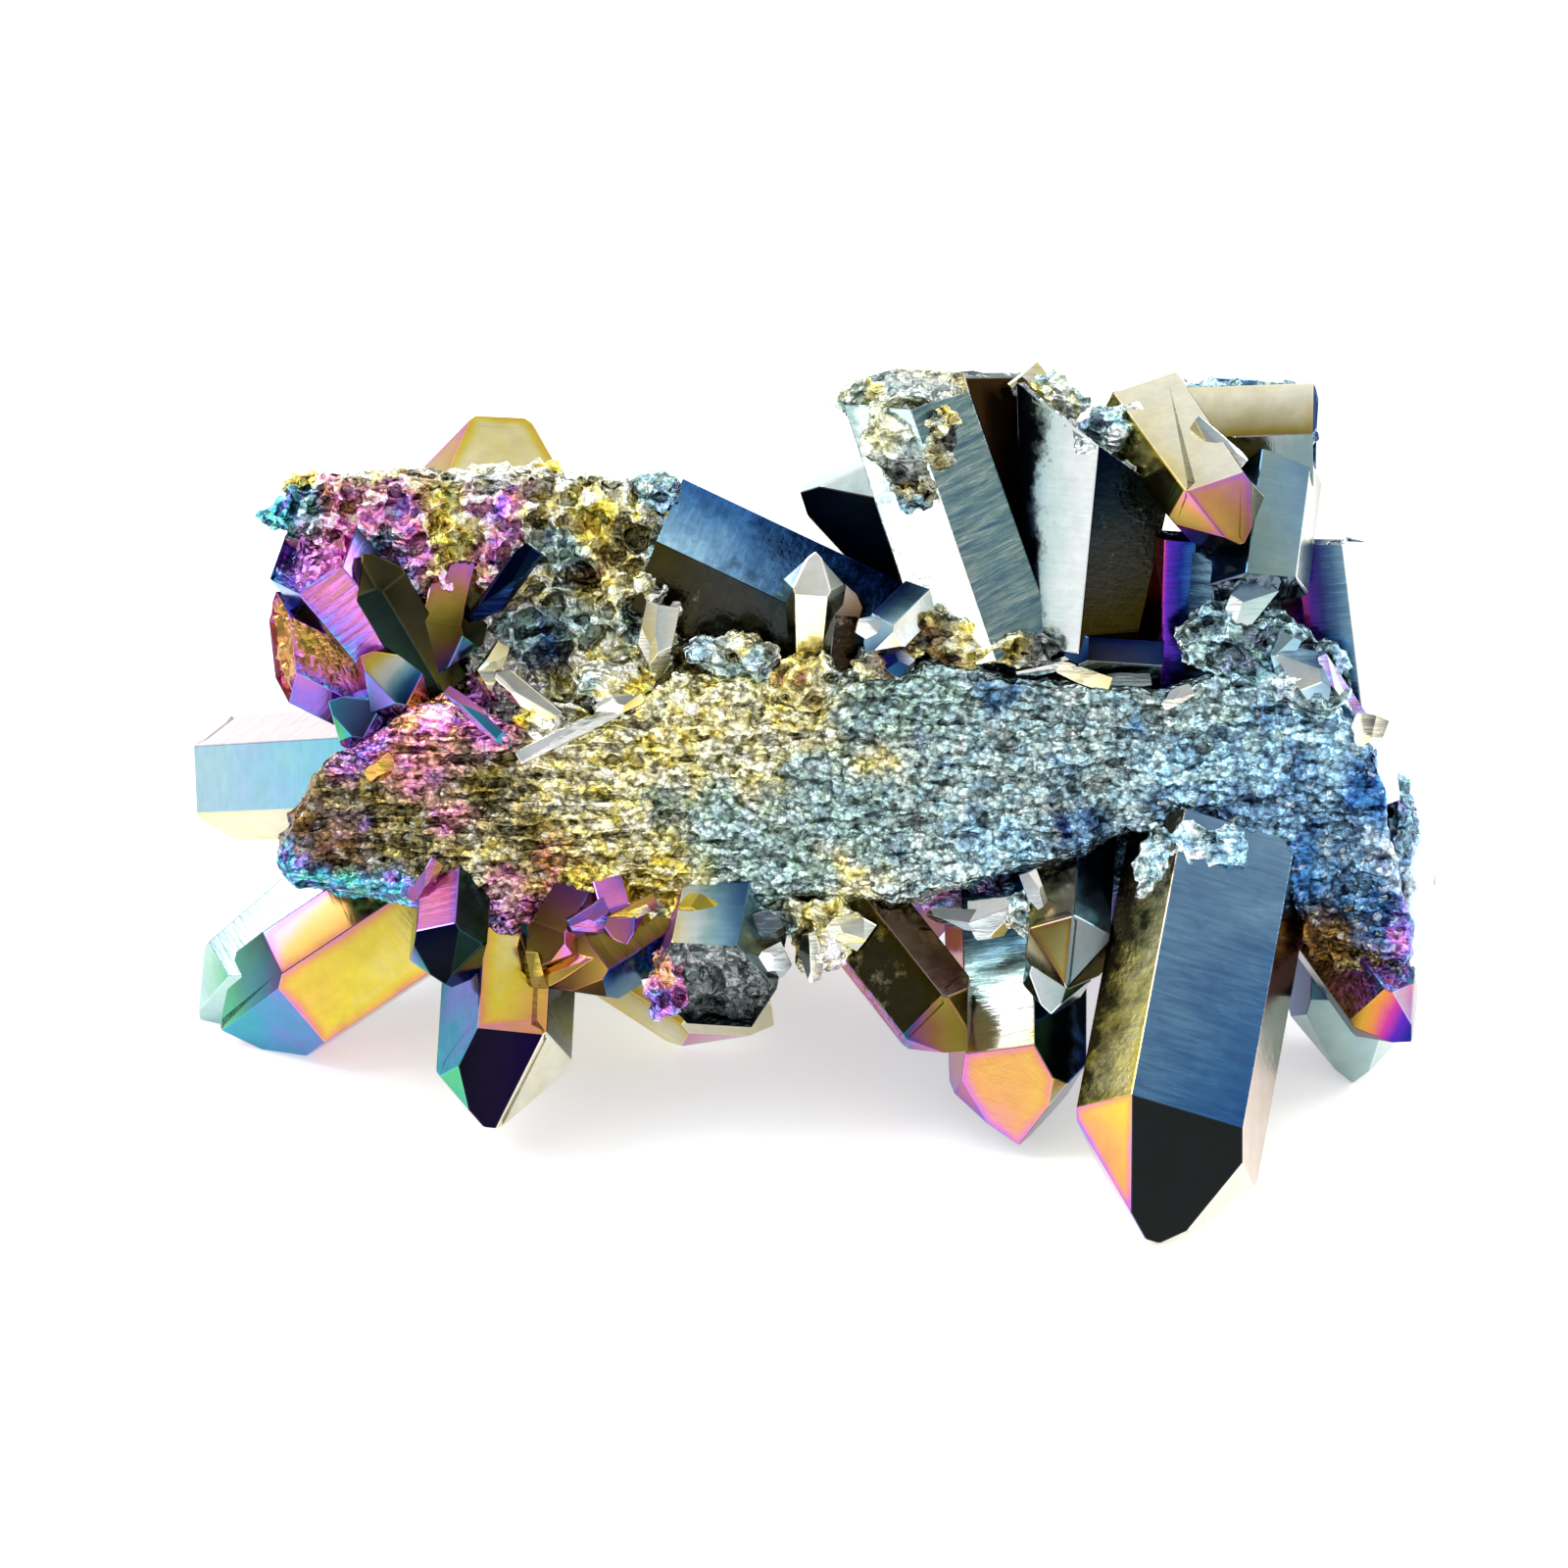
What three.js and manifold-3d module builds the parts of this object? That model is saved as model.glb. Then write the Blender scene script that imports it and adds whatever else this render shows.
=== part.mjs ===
// A titanium aura quartz cluster: six-sided quartz points grown outwards from one seam of matrix, which
// was broken along its length. It is all one piece, so it is one solid, and it stands on the tips of its
// lowest points.
//
// Millimetres. Everything is first laid out in the frame of the broken face: u to the right along the
// seam, v up the face and w out of it. The face is then tilted back to FACE_TILT above the ground and set
// down, which gives the part frame: +X right, +Y to the back, +Z up, z = 0 at the ground.
import * as THREE from "three";
import { ConvexGeometry } from "three/addons/geometries/ConvexGeometry.js";
import { ImprovedNoise } from "three/addons/math/ImprovedNoise.js";
import { mergeVertices } from "three/addons/utils/BufferGeometryUtils.js";
import Module from "manifold-3d";

const wasm = await Module();
wasm.setup();

// ---------------------------------------------------------------- driving dimensions
const FACE_TILT = 60; // degrees of the broken face above the ground
const STAND_X = -1.6; // these two put the middle of the bounding box over the origin
const STAND_Y = -4.66;
const STAND_Z = 21.5; // height of the face frame's origin above the ground
const POINT_SLOPE = 38.2; // degrees from a prism face's normal to that of the end face above it
const WELD = 1e-3; // corners closer than this are one
const PARALLEL = 1e-6; // three planes that span less than this have no corner
const GROUND_BLOCK = 200; // side of the block that trims the tips flat at the ground
const LUMP = { size: 2.6, share: 1 }; // the larger lumps of the matrix
const NUB = { size: 1.1, share: 0.6 }; // the smaller ones
const LUMP_SEEDS = [3.1, 11.7, 23.3]; // one for the shift along each axis
const BACK_ROUNDING = 3; // how far a block's back comes forward at its edges

// Each crystal runs from its root in the matrix to its tip. `half` is the distance from the axis to each
// of the three pairs of prism faces. `roll` turns it about its axis, from a face towards +w, in degrees.
// `taper` is how far the prism widens towards the root, in degrees. `lift` moves each of the six end
// faces outwards, so that some are large and some are small. A crystal with `snapped` has lost its point:
// the vector is the way its broken end faces.
const CRYSTALS = [
  // The points below the seam.
  { name: "big_point", tip: [22.6, -29, 9], root: [28, -2.5, -5], half: [4.5, 6, 5.1],
    roll: -19, taper: 1.5, lift: [-0.9, -0.35, -0.2, 0.1, 0.4, 0.3] },
  { name: "left_low_twin", tip: [-37.9, -14.6, -15.5], root: [-24, -4, -12], half: [2.8, 3.2, 3.2],
    roll: -25, taper: 0, lift: [-0.6, 0.2, 0.5, 1, 0.5, 0] },
  { name: "left_point", tip: [-18, -22.1, 2.5], root: [-17.4, -6.3, -6], half: [3.7, 3.75, 3.75],
    roll: -8, taper: 0, lift: [-0.4, 0.9, 0.6, 0, 0.6, -0.6] },
  { name: "lower_point", tip: [15, -23.1, -1], root: [15, -6.4, -9], half: [3.9, 3.9, 3.9],
    roll: 18, taper: 1, lift: [0, 0.8, 0, 0.8, 0, 1.1] },
  { name: "left_low_point", tip: [-37.4, -16.6, -13.1], root: [-22.9, -7.9, -8], half: [3, 4.25, 4.25],
    roll: -30, taper: 0, lift: [-1, 0, 0.5, 1, 0.5, 0] },
  { name: "right_far_point", tip: [37, -19.5, -9.3], root: [38.2, -6.4, -10], half: [4, 3.9, 3.9],
    roll: 15, taper: 1, lift: [0, 0.5, 0, 0.5, 0, 0.5] },
  { name: "middle_far_point", tip: [-0.6, -15.8, -12.7], root: [-12.2, -8.3, -13], half: [4, 4.2, 4.2],
    roll: 10, taper: 0, lift: [0, 0.6, 0, 0.4, 0, 0.5] },
  { name: "far_left_point", tip: [-39.4, 0.3, -31], root: [-24, 1, -11], half: [3.5, 3.7, 3.7],
    roll: 0, taper: 0, lift: [0, 0.4, 0.3, 0.8, 0.2, 0.6] },
  { name: "small_dark_point", tip: [-21.4, -12.7, 4.5], root: [-21.1, -5, -3], half: [2.3, 2.3, 2.3],
    roll: 20, taper: 0, lift: [0, 0.4, 0, 0.4, 0, 0.2] },
  { name: "gold_chip_left", tip: [-15.9, -11.8, 2], root: [-12.6, -6.3, -2], half: [1.8, 1.9, 1.9],
    roll: 20, taper: 0, lift: [0, 0.4, 0, 0.4, 0, 0.4] },
  { name: "gold_chip_right", tip: [-10, -10.3, 1.5], root: [-11.6, -5, -2], half: [1.6, 1.6, 1.6],
    roll: 0, taper: 0, lift: [0, 0.3, 0, 0.3, 0, 0.3] },
  { name: "slanted_left", tip: [-14.9, -13, 1], root: [-4.1, -6.3, -4], half: [2.4, 2.6, 2.6],
    roll: 15, taper: 0, lift: [0, 0.5, 0, 0.5, 0, 0.5] },
  { name: "snapped_front", tip: [-4.6, -12.8, 1.5], root: [-3.2, -5.7, -5], half: [3.7, 3.7, 3.7],
    roll: 15, taper: 0, snapped: [-0.2, -0.7, 0.7] },
  { name: "slanted_right", tip: [11.7, -17, 1.5], root: [3.2, -6.3, -4], half: [2.4, 2.8, 2.8],
    roll: 20, taper: 0, lift: [0, 0.5, 0, 0.5, 0, 0.5] },
  { name: "stub_point", tip: [17.8, -12.7, 3.5], root: [18.6, -5, -4], half: [2.5, 2.6, 2.6],
    roll: 30, taper: 0, lift: [0, 0, 0.2, 0.4, 0.2, 0] },
  { name: "stub_below", tip: [17, -14.7, 0.5], root: [20, -10, -4], half: [1.9, 2, 2],
    roll: 20, taper: 0, lift: [0, 0.3, 0, 0.3, 0, 0.3] },
  { name: "right_low_point", tip: [40.1, -16.5, -1], root: [34.4, -8.2, -5], half: [2.4, 2.6, 2.6],
    roll: 25, taper: 0, lift: [0, 0.4, 0, 0.4, 0, 0.4] },

  // The broken prisms above the seam.
  { name: "leaning_prism", tip: [7.2, 25.2, 1], root: [14.8, 6.5, -3], half: [3.7, 3.7, 3.7],
    roll: 27, taper: 0.5, snapped: [-0.1, 0.9, 0.35] },
  { name: "behind_leaning", tip: [13, 26.5, -8], root: [16.5, 10.2, -9], half: [3.4, 3.4, 3.4],
    roll: 10, taper: 0, snapped: [0, 1, 0.1] },
  { name: "tall_prism", tip: [20.8, 22.3, -3], root: [18.4, 8, -4], half: [5.2, 5.2, 5.2],
    roll: -15, taper: 0, snapped: [0.7, 0.71, 0.1] },
  { name: "diagonal_point", tip: [29.6, 16, 5], root: [22.5, 23.8, -4], half: [2.6, 2.6, 2.6],
    roll: 30, taper: 0, lift: [0, 0, 0.3, 0.3, 0.3, 0] },
  { name: "corner_block", tip: [34, 22.3, -2], root: [23.9, 22, -4], half: [3.3, 3.3, 3.3],
    roll: 30, taper: 0, snapped: [1, 0, 0.1] },
  { name: "hanging_block", tip: [31.4, 12.6, 1], root: [32.2, 20, -3], half: [2, 2, 2],
    roll: -10, taper: 0, snapped: [0, -1, 0.3] },
  { name: "blue_splinter", tip: [25, 15.9, -1], root: [24.8, 6.9, -4], half: [1.6, 1.6, 1.6],
    roll: 10, taper: 0, snapped: [0.1, 1, 0.2] },
  { name: "steel_splinter", tip: [27.4, 15, -1.5], root: [27.9, 5, -4], half: [2.3, 2.3, 2.3],
    roll: 25, taper: 0, snapped: [0.3, 0.9, 0.3] },
  { name: "right_upright", tip: [34.2, 15.4, -4], root: [36.3, 2.5, -6], half: [1.8, 1.8, 1.8],
    roll: -8, taper: 0.5, snapped: [0, 1, 0.1] },
  { name: "bridge_prism", tip: [-6.4, 14.3, -4], root: [10, 6.9, -5], half: [4.2, 4.2, 4.2],
    roll: 30, taper: 0, snapped: [-1, 0.4, 0] },
  { name: "small_white_point", tip: [2, 14.8, 2], root: [1.6, 5, -1], half: [1.5, 1.5, 1.5],
    roll: -5, taper: 0, lift: [0, 0.2, 0, 0.2, 0, 0.2] },
  { name: "small_white_twin", tip: [3.9, 12.8, 0], root: [3.1, 5, -2], half: [1.4, 1.4, 1.4],
    roll: 15, taper: 0, lift: [0, 0.3, 0, 0.3, 0, 0.3] },
  { name: "notch_point", tip: [1, 18.9, -8], root: [11.5, 16.7, -13], half: [4.6, 4.6, 4.6],
    roll: 30, taper: 0, lift: [0.5, 0, 0.5, 0, 0.5, 0] },
  { name: "chip_upper", tip: [5.2, 8.3, 2], root: [9.4, 12.5, -1], half: [1.5, 1.5, 1.5],
    roll: 30, taper: 0, lift: [0, 0.2, 0, 0.2, 0, 0.2] },
  { name: "sill_prism", tip: [17.5, 8.6, 0.3], root: [24, 8.2, -0.8], half: [1.3, 1.3, 1.3],
    roll: 5, taper: 0, lift: [0, 0.3, 0, 0.3, 0, 0.3] },

  // The pocket at the left, between the shelf and the seam.
  { name: "pocket_chunk", tip: [-30.1, 14.7, -2.5], root: [-23.1, 6.2, -6], half: [2.9, 2.9, 2.9],
    roll: 10, taper: 0, snapped: [-0.5, 0.6, 0.6] },
  { name: "pocket_wall", tip: [-32.2, 8.8, -3], root: [-22.5, 4, -6], half: [2.7, 2.7, 2.7],
    roll: 10, taper: 0, snapped: [-0.9, -0.1, 0.3] },
  { name: "pocket_prism", tip: [-26.9, 14.7, 0.8], root: [-22, 6.2, -2.5], half: [1.7, 1.7, 1.7],
    roll: 30, taper: 0, lift: [0, 0.2, 0, 0.2, 0, 0.2] },
  { name: "pocket_diamond", tip: [-26.8, 8, 0.5], root: [-22.5, 4.4, -5], half: [2, 2, 2],
    roll: 20, taper: 0, lift: [0, 0.3, 0, 0.3, 0, 0.3] },
  { name: "pocket_low", tip: [-29.1, 5.3, -0.5], root: [-23.8, 2.5, -5], half: [1.9, 1.9, 1.9],
    roll: 0, taper: 0, lift: [0, 0.3, 0, 0.3, 0, 0.3] },
  { name: "pocket_hanging", tip: [-22.5, 7.2, -1], root: [-21.2, 15, -3.5], half: [1.8, 1.8, 1.8],
    roll: 10, taper: 0, lift: [0, 0.3, 0, 0.3, 0, 0.3] },

  // Behind the face.
  { name: "rear_top_left", tip: [-18, 23.8, -15], root: [-19, 10.3, -14], half: [5.2, 5.2, 5.2],
    roll: 10, taper: 0, lift: [0, 1, 0.2, 1, 0.2, 1] },
  { name: "rear_top_right", tip: [31.2, 26.9, -9], root: [30, 8, -10], half: [3.5, 3.5, 3.5],
    roll: 20, taper: 0, snapped: [0.1, 1, 0] },
  { name: "rear_right", tip: [42.6, -6.6, -12], root: [33, 0, -12], half: [2.9, 2.9, 2.9],
    roll: 10, taper: 0, lift: [0, 0.6, 0, 0.6, 0, 0.6] },
  { name: "rear_low_left", tip: [-24, -8.6, -28.2], root: [-15, -2, -12], half: [4.2, 4.2, 4.2],
    roll: 0, taper: 1, lift: [0, 0.6, 0, 0.6, 0, 0.6] },
  { name: "rear_low_middle", tip: [-4, -7.4, -30.2], root: [-3, -1, -12], half: [3.8, 3.8, 3.8],
    roll: 12, taper: 1, lift: [0, 0.6, 0, 0.6, 0, 0.6] },
  { name: "rear_low_right", tip: [24, -8.9, -27.8], root: [17, -1, -12], half: [4.4, 4.4, 4.4],
    roll: 20, taper: 1, lift: [0, 0.6, 0, 0.6, 0, 0.6] },
  { name: "rear_left", tip: [-28, 12, -23], root: [-20, 4, -12], half: [3.5, 3.5, 3.5],
    roll: 5, taper: 0, lift: [0, 0.6, 0, 0.6, 0, 0.6] },
  { name: "rear_crown_left", tip: [-12, 8, -31], root: [-10, 3, -12], half: [4.6, 4.6, 4.6],
    roll: 15, taper: 1, lift: [0, 0.8, 0, 0.8, 0, 0.8] },
  { name: "rear_crown_middle", tip: [3.5, 10, -27], root: [2, 3, -12], half: [3.4, 3.4, 3.4],
    roll: 25, taper: 0, lift: [0, 0.6, 0, 0.6, 0, 0.6] },
  { name: "rear_crown_right", tip: [15, 6, -32], root: [13, 3, -12], half: [4.9, 4.9, 4.9],
    roll: 8, taper: 1, lift: [0, 0.8, 0, 0.8, 0, 0.8] },
  { name: "rear_shoulder_right", tip: [30, 12, -25], root: [23, 5, -12], half: [3.9, 3.9, 3.9],
    roll: 0, taper: 0, lift: [0, 0.6, 0, 0.6, 0, 0.6] },
  { name: "rear_high_right", tip: [20, 20, -21], root: [18, 6, -12], half: [3.4, 3.4, 3.4],
    roll: 18, taper: 0, lift: [0, 0.6, 0, 0.6, 0, 0.6] },
  { name: "rear_side_right", tip: [37, 0, -22], root: [28, 1, -12], half: [3, 3, 3],
    roll: 12, taper: 0, lift: [0, 0.5, 0, 0.5, 0, 0.5] },
  { name: "rear_under", tip: [8, -11, -20], root: [7, -3, -11], half: [3, 3, 3],
    roll: 12, taper: 0, lift: [0, 0.5, 0, 0.5, 0, 0.5] },
];

// The matrix is in blocks. Each is a box whose outline in the face follows `top` and `bottom`, lists of
// [u, v] that are joined by straight lines, and which runs from `back` to `front` along w.
const SEAM = {
  cells: [40, 7, 3],
  top: [[-32.3, -4.2], [-30.5, 0], [-28.4, 2.2], [-25, 3.9], [-21.2, 5.9], [-18.1, 4.1], [-15, 2.4],
    [-11.9, 3.4], [-9.4, 5.3], [-5, 7.2], [1.9, 6.9], [9.4, 8.1], [16.2, 6.6], [23.8, 5.9],
    [30.6, 8.1], [34.4, 6.2], [37.8, 2.8], [39, -5], [40.2, -8.8]],
  bottom: [[-32.3, -5.1], [-31.2, -6.6], [-24, -7.5], [-21.9, -6.6], [-17.5, -10.1], [-14.7, -7.8],
    [-9.4, -7], [-3.8, -7.8], [3.1, -7.5], [8.1, -7.8], [12.5, -6.2], [16.9, -5], [22.5, -3.1],
    [30.6, -3.8], [34, -10], [40.2, -11.6]],
  front: 0.6,
  back: -14,
  rounding: 2.2, // how far the front falls back at the top and bottom edges
  grain: 0.9, // height of the lumps
};
const SHELF = {
  cells: [16, 9, 3],
  top: [[-33.4, 17.5], [-31.2, 19.1], [-26.9, 20], [-12.5, 19.9], [-6.9, 19.4], [-5.9, 17.5]],
  bottom: [[-33.4, 16.9], [-31.9, 15.9], [-28.8, 15], [-25, 12.5], [-20.6, 10], [-19.5, 3.8],
    [-7.5, 6.2], [-5.9, 15]],
  front: -0.5,
  back: -10,
  rounding: 0.6,
  grain: 1,
};
const BOWL = { u: -15.6, v: 8.8, radius: 4.4, depth: 2.4 }; // the hollow in the shelf
const CORE = {
  cells: [15, 5, 4],
  top: [[-28, 2], [-20, 9], [0, 7], [10, 12], [30, 12], [36, 4]],
  bottom: [[-28, -3], [-18, -7], [10, -8], [30, -6], [36, -5]],
  front: -4,
  back: -19,
  rounding: 1,
  grain: 1.6,
};
const BLOCKS = [SEAM, SHELF, CORE];

// ---------------------------------------------------------------- helpers
const radians = THREE.MathUtils.degToRad;
const FACE_OUT = new THREE.Vector3(0, 0, 1);

// From the frame of the broken face to the part frame.
const standing = new THREE.Matrix4()
  .makeTranslation(STAND_X, STAND_Y, STAND_Z)
  .multiply(new THREE.Matrix4().makeRotationX(radians(FACE_TILT)));

// A closed geometry as a manifold-3d solid.
function solidOf(geometry) {
  const bare = geometry.clone();
  bare.deleteAttribute("normal");
  bare.deleteAttribute("uv");
  const merged = mergeVertices(bare, WELD);
  return new wasm.Manifold(
    new wasm.Mesh({
      numProp: 3,
      vertProperties: merged.attributes.position.array,
      triVerts: new Uint32Array(merged.index.array),
    }),
  );
}

// The corners of the convex body inside a set of planes: wherever three of them meet and no other one
// cuts the meeting point off.
function cornersInside(planes) {
  const corners = [];
  planes.forEach((a, i) =>
    planes.slice(i + 1).forEach((b, j) =>
      planes.slice(i + j + 2).forEach((c) => {
        const bc = new THREE.Vector3().crossVectors(b.normal, c.normal);
        const ca = new THREE.Vector3().crossVectors(c.normal, a.normal);
        const ab = new THREE.Vector3().crossVectors(a.normal, b.normal);
        const volume = a.normal.dot(bc);
        if (Math.abs(volume) < PARALLEL) return;
        const corner = bc
          .multiplyScalar(-a.constant)
          .addScaledVector(ca, -b.constant)
          .addScaledVector(ab, -c.constant)
          .divideScalar(volume);
        const inside = planes.every((p) => p.distanceToPoint(corner) < WELD);
        if (inside && !corners.some((p) => p.distanceTo(corner) < 2 * WELD)) corners.push(corner);
      }),
    ),
  );
  return corners;
}

function planeThrough(normal, point) {
  return new THREE.Plane().setFromNormalAndCoplanarPoint(normal.clone().normalize(), point);
}

// One quartz crystal: six prism faces, then either six faces that meet at the tip or one broken end.
function crystalGeometry({ tip, root, half, roll, taper, lift, snapped }) {
  const end = new THREE.Vector3(...tip);
  const start = new THREE.Vector3(...root);
  const axis = end.clone().sub(start).normalize();
  const facing = FACE_OUT.clone().addScaledVector(axis, -FACE_OUT.dot(axis)).normalize();
  const planes = [planeThrough(axis.clone().negate(), start)];
  for (let i = 0; i < 6; i++) {
    const outwards = facing.clone().applyAxisAngle(axis, radians(roll + 60 * i));
    const side = outwards.clone().addScaledVector(axis, Math.tan(radians(taper)));
    planes.push(planeThrough(side, end.clone().addScaledVector(outwards, half[i % 3])));
    if (snapped) continue;
    const slope = radians(POINT_SLOPE);
    const face = outwards.clone().multiplyScalar(Math.cos(slope)).addScaledVector(axis, Math.sin(slope));
    planes.push(planeThrough(face, end.clone().addScaledVector(face, lift[i])));
  }
  if (snapped) planes.push(planeThrough(new THREE.Vector3(...snapped), end));
  return new ConvexGeometry(cornersInside(planes));
}

// The height of a line of [u, v] points at u.
function along(line, u) {
  const next = line.findIndex((p) => p[0] >= u);
  if (next === 0) return line[0][1];
  if (next < 0) return line[line.length - 1][1];
  const [a, b] = [line[next - 1], line[next]];
  return THREE.MathUtils.mapLinear(u, a[0], b[0], a[1], b[1]);
}

const noise = new ImprovedNoise();

// The shift of a point of the matrix, the same for every block that has a point there.
function lumps(p, height) {
  const shifts = LUMP_SEEDS.map((seed) => {
    const wave = ({ size, share }) =>
      share * noise.noise(p.x / size + seed, p.y / size - seed, p.z / size + seed / 2);
    return height * (wave(LUMP) + wave(NUB));
  });
  return new THREE.Vector3(...shifts);
}

function bowlDepth(u, v) {
  const away = Math.hypot(u - BOWL.u, v - BOWL.v) / BOWL.radius;
  return BOWL.depth * Math.exp(-(away ** 2));
}

function blockGeometry(block) {
  const { top, bottom, front, back, rounding, grain, cells } = block;
  const box = new THREE.BoxGeometry(2, 2, 2, ...cells);
  const places = box.attributes.position;
  const first = top[0][0];
  const last = top[top.length - 1][0];
  for (let i = 0; i < places.count; i++) {
    const [a, b, c] = [places.getX(i), places.getY(i), places.getZ(i)];
    const u = THREE.MathUtils.mapLinear(a, -1, 1, first, last);
    const v = THREE.MathUtils.mapLinear(b, -1, 1, along(bottom, u), along(top, u));
    const edge = Math.max(Math.abs(b) ** 4, Math.abs(a) ** 16); // 1 at the outline, 0 well inside it
    const near = front - rounding * edge - (block === SHELF ? bowlDepth(u, v) : 0);
    const far = back + BACK_ROUNDING * edge;
    const p = new THREE.Vector3(u, v, THREE.MathUtils.mapLinear(c, -1, 1, far, near));
    p.add(lumps(p, grain));
    places.setXYZ(i, p.x, p.y, p.z);
  }
  return box;
}

// ---------------------------------------------------------------- the part
const pieces = [...BLOCKS.map(blockGeometry), ...CRYSTALS.map(crystalGeometry)];
const grown = pieces
  .map((geometry) => solidOf(geometry.applyMatrix4(standing)))
  .reduce((whole, piece) => whole.add(piece));

// The tips that carry the cluster are worn flat where they meet the ground.
const ground = new THREE.BoxGeometry(GROUND_BLOCK, GROUND_BLOCK, GROUND_BLOCK);
const cluster = grown.subtract(solidOf(ground.translate(0, 0, -GROUND_BLOCK / 2)));

function geometryOf(solid) {
  const mesh = solid.getMesh();
  return new THREE.BufferGeometry()
    .setAttribute("position", new THREE.BufferAttribute(mesh.vertProperties, 3))
    .setIndex(new THREE.BufferAttribute(mesh.triVerts, 1));
}

const coating = new THREE.MeshStandardMaterial({ color: 0x5f8fb4, roughness: 0.22, metalness: 1 });
const quartz = new THREE.Mesh(geometryOf(cluster), coating);
quartz.name = "quartz_cluster";

const part = new THREE.Group();
part.name = "titanium_aura_quartz_cluster";
part.add(quartz);

export default part;
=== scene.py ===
"""A titanium aura quartz cluster: six-sided quartz points on a seam of broken matrix, all under one
metallic coating whose colour follows its thickness.

Lengths in the tables are millimetres in the frame of the broken face: u to the right along the seam,
v up the face and w out of it. FACE puts that frame into the part's."""

import math
import random

import bmesh
import bpy
import numpy as np
from bpy.props import FloatProperty, FloatVectorProperty, IntProperty, PointerProperty
from mathutils import Matrix, Quaternion, Vector, noise


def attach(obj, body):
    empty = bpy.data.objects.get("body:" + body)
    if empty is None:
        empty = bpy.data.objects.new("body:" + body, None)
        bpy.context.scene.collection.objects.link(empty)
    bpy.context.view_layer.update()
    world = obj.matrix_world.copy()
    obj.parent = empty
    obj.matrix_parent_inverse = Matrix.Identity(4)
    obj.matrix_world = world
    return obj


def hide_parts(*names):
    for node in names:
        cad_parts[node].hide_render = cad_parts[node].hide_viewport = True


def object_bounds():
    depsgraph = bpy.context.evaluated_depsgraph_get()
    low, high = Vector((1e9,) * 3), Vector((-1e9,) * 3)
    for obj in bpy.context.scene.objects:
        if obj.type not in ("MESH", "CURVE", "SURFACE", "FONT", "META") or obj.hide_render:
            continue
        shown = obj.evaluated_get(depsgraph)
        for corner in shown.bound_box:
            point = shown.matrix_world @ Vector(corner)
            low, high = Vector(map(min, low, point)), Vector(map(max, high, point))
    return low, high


bl_info = {
    "name": "Aura Quartz Cluster",
    "version": (1, 0, 0),
    "blender": (4, 5, 0),
    "location": "View3D > Sidebar > Quartz",
    "description": "Builds a titanium aura quartz cluster and the stage it stands on",
    "category": "Add Mesh",
}

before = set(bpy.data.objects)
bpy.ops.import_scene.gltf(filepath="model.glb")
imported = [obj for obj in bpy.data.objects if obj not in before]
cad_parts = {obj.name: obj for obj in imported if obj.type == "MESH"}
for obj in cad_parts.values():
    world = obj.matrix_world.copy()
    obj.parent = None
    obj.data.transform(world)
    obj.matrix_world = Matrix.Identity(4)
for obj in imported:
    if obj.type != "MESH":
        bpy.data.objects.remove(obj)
CAD_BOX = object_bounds()

MM = 0.001
FACE_TILT = math.radians(60)
STAND = Vector((-1.6, -4.66, 21.5)) * MM
FACE = Matrix.Translation(STAND) @ Matrix.Rotation(FACE_TILT, 4, "X")
POINT_SLOPE = math.radians(38.2)  # of an end face of quartz to the axis
OUT = Vector((0, 0, 1))
UP = Vector((0, 1, 0))
NEAR = 2e-6  # metres, closer than this is the same place
SHORT = 0.16 * MM  # corners of a crystal closer than this become one
FLAT = 0.9965  # cosine within which a face isn't part of a worn edge
NOISE_SEED = 1795484216  # without a seed, noise_vector starts from the clock

# ------------------------------------------------------------------ the coating's colours
# Thickness of the film from 0 to 1, and the colour that it has there.
FILM = (
    (0, "#1c130f"), (0.07, "#5b4323"), (0.15, "#c79a38"), (0.22, "#d98648"), (0.28, "#c83f92"),
    (0.34, "#5a2bb0"), (0.4, "#1c2a86"), (0.48, "#3a76ac"), (0.55, "#8fc6e2"), (0.585, "#b2d8d4"),
    (0.62, "#e6f4f4"), (0.67, "#f6f2d6"), (0.74, "#e6d048"), (0.81, "#e8a566"), (0.87, "#e07fc4"),
    (0.91, "#9d78ea"), (0.955, "#44a8c8"), (1, "#5cc088"),
)
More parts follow.
